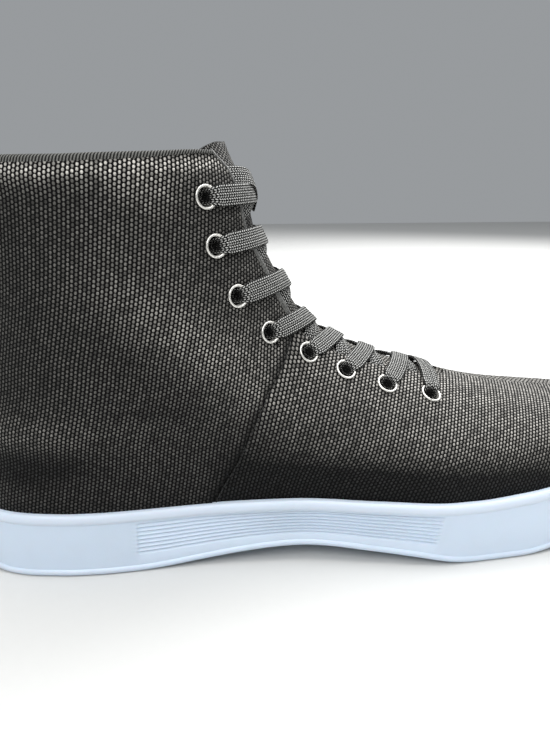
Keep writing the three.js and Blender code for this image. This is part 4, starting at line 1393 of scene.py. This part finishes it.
@dataclass
class Tongue(Stock):
    """The tongue under the throat.

    Attributes:
        sink: How far its face lies under the upper's outside.
        thick: Its thickness.
    """

    sink: float = 2.4 * MM
    thick: float = 2.6 * MM

    def build(self) -> None:
        """Make the tongue."""
        number = np.linspace(TONGUE[0][0], TONGUE[-1][0], 190)
        columns = 30
        out = np.linspace(0, 1, columns)
        ridge = columns - 1
        halves = []
        for side in Side:
            reach = LAST.wide_turn(number, side, LAST.tongue_half)
            turn = reach[:, None] * out[None]
            grid = np.broadcast_to(number[:, None], turn.shape)
            middle = 1 - smooth(0.0, 0.75, out)[None] * np.ones_like(turn)
            points = LAST.lifted(grid, turn, side, -self.sink + 1.3 * MM * middle)
            halves.append((points, LAST.normal(grid, turn, side)))
        points = np.concatenate([halves[0][0][:, ::-1], halves[1][0][:, 1:]], axis=1)
        normal = np.concatenate([halves[0][1][:, ::-1], halves[1][1][:, 1:]], axis=1)
        along = run_length(points[:, ridge])
        steps = np.linalg.norm(np.diff(points, axis=1), axis=-1)
        round_it = np.concatenate([np.zeros((len(points), 1)), steps.cumsum(axis=1)], axis=1)
        round_it = round_it - round_it[:, ridge : ridge + 1]
        uv = np.stack([round_it, np.broadcast_to(-along[:, None], points.shape[:2])], -1)
        # painted shade: the tongue goes near-black under the eyelet holes
        painted_shade = np.zeros(points.shape[:2])
        for level in range(3):
            painted_shade = np.maximum(painted_shade, ring_shade(points, -self.sink - 2 * MM + level * 2 * MM))
        turned, uv = flip_if_inward(points, uv, normal)
        piece = sheet_piece("tongue_pad", turned, uv)
        # painted sheen: the tongue is lighter where it faces up
        wear_and_sheen = 0.08 + 0.6 * smooth(0.02, 0.95, normal[..., 2])
        paint(piece, "painted_shade", painted_shade if turned is points else painted_shade[:, ::-1])
        paint(piece, "sheen_and_smear", wear_and_sheen if turned is points else wear_and_sheen[:, ::-1])
        piece.data.materials.append(self.finishes.canvas)
        piece.data.materials.append(self.finishes.lining)
        lining = {"material_offset": 1, "material_offset_rim": 1}
        apply_modifier(piece, "SOLIDIFY", thickness=self.thick, offset=-1.0, **lining)
        smooth_shade(piece, 60)
        self.place(piece, ["tongue"], "waxed_canvas", self.finishes.canvas)


@dataclass
class Sole(Stock):
    """The rubber cupsole and the insole inside it.

    Attributes:
        wall_inset: How far the plain wall lies inside the outline.
        ribs: Number of grooves in the ribbed panels.
        rib_depth: Depth of those grooves.
    """

    wall_inset: float = 0.8 * MM
    ribs: int = 8
    rib_depth: float = 0.7 * MM

    def grooves(self) -> list:
        """Give the places of the tread's grooves."""
        places = []
        for band_from, band_to in TREAD_BANDS:
            places += list(np.arange(band_from * LENGTH, band_to * LENGTH, TREAD_PITCH))
        return places

    def stations(self) -> Array:
        """Give the places along the sole, close together where a groove or a panel ends."""
        even = LENGTH * (1 - np.cos(np.pi * np.linspace(0, 1, 181))) / 2
        places = list(even)
        for centre in self.grooves():
            for edge in (-1.5, 1.5):
                for slack in (-0.2, 0.2):
                    at = centre + (edge + slack) * MM - 2 * MM
                    places.append(at / (LENGTH - 4 * MM) * LENGTH)
        for end in (67.0, 67.6, 68.2, 186.5, 187.3, 188.1, 188.9, 189.7, 190.5, 191.3):
            places.append(end * MM)
        places = np.sort(np.clip(places, 0, LENGTH))
        keep = np.concatenate([[True], np.diff(places) > 0.12 * MM])
        return places[keep]

    def profile(self) -> list:
        """Give the wall's profile: inset, line it is measured from, rise, and share of a groove's depth."""
        rows = [(2.0, "bottom", 0.0), (1.1, "bottom", 0.12), (0.5, "bottom", 0.5), (0.15, "bottom", 1.0)]
        rows += [(0.0, "bottom", 1.6), (0.12, "bottom", 2.2), (0.45, "bottom", 2.6), (0.8, "bottom", 2.9)]
        low = [(inset * MM, line, rise * MM, None, 0.0) for inset, line, rise in rows]
        groove = [(-0.9, 0), (-0.6, 0.25), (-0.25, 0.85), (0, 1), (0.25, 0.85), (0.6, 0.25), (0.9, 0)]
        middle = []
        for i in range(self.ribs):
            share = 0.31 + (0.78 - 0.31) * i / (self.ribs - 1)
            for offset, depth in groove:
                middle.append((self.wall_inset, "share", offset * MM, share, depth * self.rib_depth))
        rows = [(0.8, -4.8), (0.78, -4.45), (0.6, -4.1), (0.25, -3.75), (0.05, -3.3), (0.0, -2.7)]
        rows += [(0.0, -2.0), (0.12, -1.35), (0.4, -0.75), (0.85, -0.25), (1.4, 0.0), (2.3, 0.0), (3.3, -0.05)]
        high = [(inset * MM, "top", rise * MM, None, 0.0) for inset, rise in rows]
        return low + middle + high

    def ring(self, row: tuple, side: Side, stations: Array) -> Array:
        """Give one line of the wall along one side."""
        inset, line, rise, share, groove = row
        x = inset + (LENGTH - 2 * inset) * stations / LENGTH
        low, high = LAST.height("bottom", x), LAST.height("top", x)
        if line == "share":
            z = low + (high - low) * share + rise
            front = 189.4 * MM + (share - 0.78) * 5 * MM
            inside = smooth(67.0 * MM, 68.2 * MM, x) * (1 - smooth(front - 0.6 * MM, front + 0.6 * MM, x))
            y = LAST.outline(x, side, inset) - side.value * groove * inside
        else:
            z = (low if line == "bottom" else high) + rise
            y = LAST.outline(x, side, inset)
        return np.stack([x, y, z], -1)

    def tread(self, points: Array) -> Array:
        """Give the depth of the tread at points of the bottom."""
        x = points[..., 0]
        depth = np.zeros_like(x)
        for centre in self.grooves():
            depth = np.maximum(depth, 1 - smooth(1.3 * MM, 1.7 * MM, np.abs(x - centre)))
        return depth

    def cupsole(self) -> bpy.types.Object:
        """Make the cupsole."""
        stations = self.stations()
        rings = []
        for row in self.profile():
            lateral = self.ring(row, Side.LATERAL, stations)
            medial = self.ring(row, Side.MEDIAL, stations)
            rings.append(np.concatenate([lateral, medial[::-1][1:]]))
        points = np.stack(rings)
        outward = points - points.mean(axis=(0, 1))
        points, _ = flip_if_inward(points, None, outward)
        wall = sheet_piece("sole_wall", points)
        first = [self.ring(self.profile()[0], side, stations) for side in Side]
        share = np.linspace(0, 1, 72)[None, :, None]
        bottom = first[0][:, None] * (1 - share) + first[1][:, None] * share
        reach = [np.abs(bottom[..., 1] - side_edge[:, None, 1]) for side_edge in first]
        edge = np.minimum(reach[0], reach[1])
        clear = smooth(6.5 * MM, 8.5 * MM, edge)
        zigzag = np.abs((bottom[..., 1] / (11 * MM)) % 1 - 0.5) * 5 * MM
        bottom[..., 2] += self.tread(bottom) * clear * 2 * MM
        bottom[..., 0] += (zigzag - 1.25 * MM) * smooth(4 * MM, 10 * MM, edge)
        down = np.broadcast_to([0.0, 0.0, -1.0], bottom.shape)
        bottom, _ = flip_if_inward(bottom, None, down)
        under = sheet_piece("sole_bottom", bottom)
        last = [self.ring(self.profile()[-1], side, stations) for side in Side]
        sunk = [points.copy() for points in last]
        for points in sunk:
            points[:, 2] = LAST.height("floor", points[:, 0])
        levels = np.linspace(0, 1, 4)[1:]
        rows = [last[0]]
        rows += [mix(last[0], sunk[0], level) for level in levels]
        rows += [mix(sunk[0], sunk[1], share) for share in np.linspace(0, 1, 14)[1:-1]]
        rows += [mix(sunk[1], last[1], level) for level in np.linspace(0, 1, 4)]
        hollow = np.stack(rows, 1)
        up = np.broadcast_to([0.0, 0.0, 1.0], hollow.shape)
        hollow, _ = flip_if_inward(hollow, None, up)
        cup = sheet_piece("sole_cup", hollow)
        piece = join("rubber_cupsole", [wall, under, cup])
        weld(piece, 0.02 * MM)
        places = vertex_places(piece)
        top = LAST.height("top", places[:, 0]) - places[:, 2]
        foot = places[:, 2] - LAST.height("bottom", places[:, 0])
        x = places[:, 0]
        # painted highlight on the top lip and, at heel and toe, on the bottom bead
        ends = 1 - smooth(40 * MM, 75 * MM, x) + smooth(205 * MM, 240 * MM, x)
        lip = 1 - smooth(4.0 * MM, 4.8 * MM, top)
        bead = (1 - smooth(2.2 * MM, 2.8 * MM, foot)) * ends
        paint(piece, "moulded", np.clip(lip + bead, 0, 1))
        smooth_shade(piece, 38)
        return piece

    def insole(self) -> bpy.types.Object:
        """Make the insole."""
        wall = 1.9 * MM
        stations = LENGTH * (1 - np.cos(np.pi * np.linspace(0.01, 0.99, 120))) / 2
        sides = []
        for side in Side:
            inset = LAST.lip + wall + 0.3 * MM
            x = inset + (LENGTH - 2 * inset) * stations / LENGTH
            z = LAST.height("floor", x) + 4.3 * MM
            sides.append(np.stack([x, LAST.outline(x, side, inset), z], -1))
        share = np.linspace(0, 1, 40)[None, :, None]
        points = sides[0][:, None] * (1 - share) + sides[1][:, None] * share
        up = np.broadcast_to([0.0, 0.0, 1.0], points.shape)
        points, _ = flip_if_inward(points, None, up)
        piece = sheet_piece("insole_board", points, points[..., :2])
        apply_modifier(piece, "SOLIDIFY", thickness=3.6 * MM, offset=-1.0)
        smooth_shade(piece, 40)
        return piece

    def build(self) -> None:
        """Make the sole and the insole."""
        self.place(self.cupsole(), ["cupsole"], "white_rubber", self.finishes.rubber)
        self.place(self.insole(), ["insole"], "lining_textile", self.finishes.lining)


@dataclass
class Eyelets(Stock):
    """The sixteen rolled eyelets.

    Attributes:
        step: How far the quarters stand over the vamp.
    """

    step: float = QUARTER_STEP

    def build(self) -> None:
        """Make each eyelet at its seat."""
        profile = [(3.45, -2.4), (3.8, -2.4), (3.85, 0.0), (4.25, 0.0), (4.42, 0.1), (4.5, 0.3)]
        profile += [(4.45, 0.52), (4.3, 0.7), (4.05, 0.78), (3.78, 0.7), (3.6, 0.5), (3.5, 0.1)]
        profile += [(3.45, -0.4), (3.45, -2.4)]
        turns = np.linspace(0, 2 * np.pi, 41)
        for i, row in enumerate(EYELETS):
            for side in Side:
                number = np.array([row[0]])
                turn = LAST.turn_of_depth(number, row[1] * LENGTH)
                rise = self.step if i < 4 else 0.0
                place = eyelet_centre(i, side, rise)
                out = LAST.normal(number, turn, side)[0]
                u = np.cross(out, [0.0, 0.0, 1.0])
                u /= np.linalg.norm(u)
                v = np.cross(out, u)
                rings = []
                for radius, height in profile:
                    wheel = np.cos(turns)[:, None] * u + np.sin(turns)[:, None] * v
                    rings.append(place + wheel * radius * MM + out * height * MM)
                where = f"{side.name.lower()}_{i + 1}"
                piece = sheet_piece(f"rolled_eyelet_{where}", np.stack(rings), None, closed=True)
                smooth_shade(piece, 50)
                self.place(piece, [f"eyelet_{where}"], "eyelet_metal", self.finishes.metal)


@dataclass
class Lacing(Stock):
    """The flat laces, crossed over the tongue.

    Attributes:
        width: Width of the lace.
        thick: Thickness of the lace.
        step: How far the quarters stand over the vamp.
    """

    width: float = 8.0 * MM
    thick: float = 1.3 * MM
    step: float = QUARTER_STEP

    def profile(self) -> Array:
        """Give the cross section: five raised ribs on both faces."""
        across = np.linspace(-1, 1, 41)
        body = np.sqrt(np.clip(1 - np.abs(across) ** 7, 0, 1))
        top = body * (0.78 + 0.22 * np.abs(np.cos(2.5 * np.pi * across)))
        high = np.stack([across * self.width / 2, top * self.thick / 2], -1)
        low = np.stack([across[::-1] * self.width / 2, -top[::-1] * self.thick / 2], -1)
        return np.concatenate([high, low[1:-1]])[::-1]

    def signed(self, number: Array, turn: Array, lift: Array) -> tuple:
        """Give points and normals over both sides: a negative turn is on the outer side."""
        share = np.abs(turn)
        points = [LAST.lifted(number, share, side, lift) for side in Side]
        outs = [LAST.normal(number, share, side) for side in Side]
        lateral = (turn < 0)[..., None]
        return np.where(lateral, points[0], points[1]), np.where(lateral, outs[0], outs[1])

    def crossing(self, i: int, near: Side, over: bool) -> bpy.types.Object:
        """Make one lace from its eyelet over the ridge to under the far edge of the throat.

        Args:
            i: Row of the eyelet, from the top.
            near: Side that it starts on.
            over: True where it lies over its partner.

        Returns:
            The piece.
        """
        far = Side.MEDIAL if near is Side.LATERAL else Side.LATERAL
        row, below = EYELETS[i], EYELETS[min(i + 1, len(EYELETS) - 1)]
        first, last = row[0], below[0]
        start = LAST.turn_of_depth(np.array([first]), row[1] * LENGTH)[0]
        finish = LAST.turn_of_depth(np.array([last]), below[1] * LENGTH)[0]
        throat_far = LAST.throat_turn(np.array([last]), far)[0]
        ridge = first + row[2] * (last - first)
        bar = i == len(EYELETS) - 1
        rise = self.step if i < 4 else 0.0
        if bar:
            ridge = first - 0.08
        s = np.linspace(-start, finish, 100)
        number = column_curve([(-start, first), (0.0, ridge), (finish, last)], 1)(s)
        ground, normals = self.signed(number, -near.value * s, np.zeros_like(s))
        run = run_length(ground)
        middle = float(np.interp(0.0, s, run))
        lies = rise + 0.1 * MM + self.thick / 2
        loft = (0.75 if i < 3 else 0.25) * MM
        crown = loft + (0.95 * MM if over else -0.4 * MM)
        ends = [(0.0, -2.8 * MM), (0.8, -1.6 * MM), (1.7, rise - 0.2 * MM), (2.7, rise + 1.0 * MM)]
        ends += [(3.9, rise + 1.45 * MM), (5.2, lies + 0.5 * MM), (7.2, lies + 0.1 * MM)]
        rows = [(distance * MM, lift) for distance, lift in ends if distance * MM < middle - 1.5 * MM]
        rows += [(middle, crown)]
        if bar:
            rows += [(run[-1] - at, lift) for at, lift in rows[-2::-1]]
        else:
            hem = float(np.interp(throat_far, s, run))
            rows += [(mix(middle, hem, 0.5), crown - 0.6 * MM), (mix(middle, hem, 0.8), -1.7 * MM)]
            rows += [(hem, -2.8 * MM), (run[-1], -3.8 * MM)]
        lift = column_curve(rows, 1)(run)
        points = ground + normals * lift[:, None]
        ahead = np.minimum(run, run[-1] - run) if bar else run
        widths = mix(0.74, 1.0, smooth(1.0 * MM, 6.0 * MM, ahead))
        name = f"lace_{'over' if over else 'under'}_{i + 1}"
        piece = sweep(name, points, normals, self.profile(), widths)
        # painted shade where the lace enters its eyelet
        away = np.linalg.norm(vertex_places(piece) - ground[0], axis=1)
        paint(piece, "painted_shade", 1 - smooth(1.9 * MM, 3.8 * MM, away))
        smooth_shade(piece, 60)
        return piece

    def fold(self) -> bpy.types.Object:
        """Make the folded end of the lace, from the top crossing up and behind the front corner."""
        share = np.linspace(0, 1, 60)
        edge = LAST.throat_turn(np.array([1.6]), Side.LATERAL)[0]
        turn = column_curve([(0, 0.03), (0.4, -0.1 * edge), (0.75, -0.6 * edge), (1, -1.15 * edge)], 1)(share)
        number = column_curve([(0, 2.45), (0.4, 2.0), (0.75, 1.72), (1, 1.64)], 1)(share)
        rows = [(0, 0.6), (0.3, 2.4), (0.6, 2.6), (0.8, 1.0), (0.92, -1.2), (1, -3.0)]
        lift = column_curve([(at, rise * MM) for at, rise in rows], 1)(share)
        points, normals = self.signed(number, turn, lift)
        piece = sweep("lace_fold", points, normals, self.profile(), np.full_like(share, 0.95))
        smooth_shade(piece, 60)
        return piece

    def hand(self, piece: bpy.types.Object) -> None:
        """Hand one lace to the frame."""
        self.place(piece, ["lace"], "black_lace", self.finishes.lace)

    def build(self) -> None:
        """Make each crossing."""
        for i in range(len(EYELETS) - 1):
            self.hand(self.crossing(i, Side.LATERAL, True))
            self.hand(self.crossing(i, Side.MEDIAL, False))
        self.hand(self.crossing(len(EYELETS) - 1, Side.LATERAL, True))
        self.hand(self.fold())


@dataclass
class Studio:
    """Floor, light and camera.

    Attributes:
        place: Place of the camera from the back of the heel.
        tilt: How far it is turned up from looking straight down, in degrees.
        turn: How far it is turned about the upright, in degrees.
        focal: Focal length, in the dots of a picture that is as high as photo_height.
        photo_height: Height of the picture in dots.
        sensor: Height of the sensor in millimetres.
    """

    place: tuple = (0.0813, -0.2590, 0.1476)
    tilt: float = 74.5
    turn: float = -10.5
    focal: float = 620.0
    photo_height: float = 733.0
    sensor: float = 36.0

    def build(self) -> None:
        """Set the floor, lights and camera."""
        deselect()
        bpy.ops.mesh.primitive_plane_add(size=6)
        floor = bpy.context.active_object
        floor.name = "studio_floor"
        material, g, shader = new_material("studio_floor")
        grain = g.noise(g.object_place(), 300.0, 2.0)
        g.feed(shader.inputs["Base Color"], g.blend(grain, srgb(204, 204, 202), srgb(206, 206, 204)))
        shader.inputs["Roughness"].default_value = 0.8
        floor.data.materials.append(material)
        for name, place, size, power in (
            ("top", (0.15, 0.1, 1.5), 1.5, 34.0),
            ("key", (-0.7, -1.3, 1.5), 1.0, 22.0),
            ("back", (0.9, 1.1, 1.2), 1.2, 26.0),
        ):
            deselect()
            bpy.ops.object.light_add(type="AREA", location=place)
            lamp = bpy.context.active_object
            lamp.name = f"light_{name}"
            lamp.data.size = size
            lamp.data.energy = power
            aim = Vector((0, 0, 0.05)) - Vector(place)
            lamp.rotation_euler = aim.to_track_quat("-Z", "Y").to_euler()
        world = bpy.context.scene.world or bpy.data.worlds.new("studio")
        bpy.context.scene.world = world
        world.use_nodes = True
        sky = world.node_tree.nodes["Background"]
        sky.inputs["Color"].default_value = (0.92, 0.96, 1.0, 1.0)
        sky.inputs["Strength"].default_value = 0.34
        deselect()
        bpy.ops.object.camera_add(location=Vector(self.place) + Vector(SHIFT))
        camera = bpy.context.active_object
        camera.name = "photo_camera"
        camera.rotation_euler = (math.radians(self.tilt), 0.0, math.radians(self.turn))
        camera.data.sensor_width = self.sensor
        camera.data.lens = self.focal / self.photo_height * self.sensor
        camera.data.clip_start = 0.01
        bpy.context.scene.camera = camera
        bpy.context.scene.view_settings.view_transform = "Standard"


def main() -> None:
    """Make the shoe and its studio."""
    logging.basicConfig(level=logging.INFO, format="%(name)s: %(message)s")
    Studio().build()
    finishes = Finishes()
    for part in (Sole(finishes), Upper(finishes), Tongue(finishes), Eyelets(finishes), Lacing(finishes)):
        part.build()


if __name__ == "__main__":
    main()
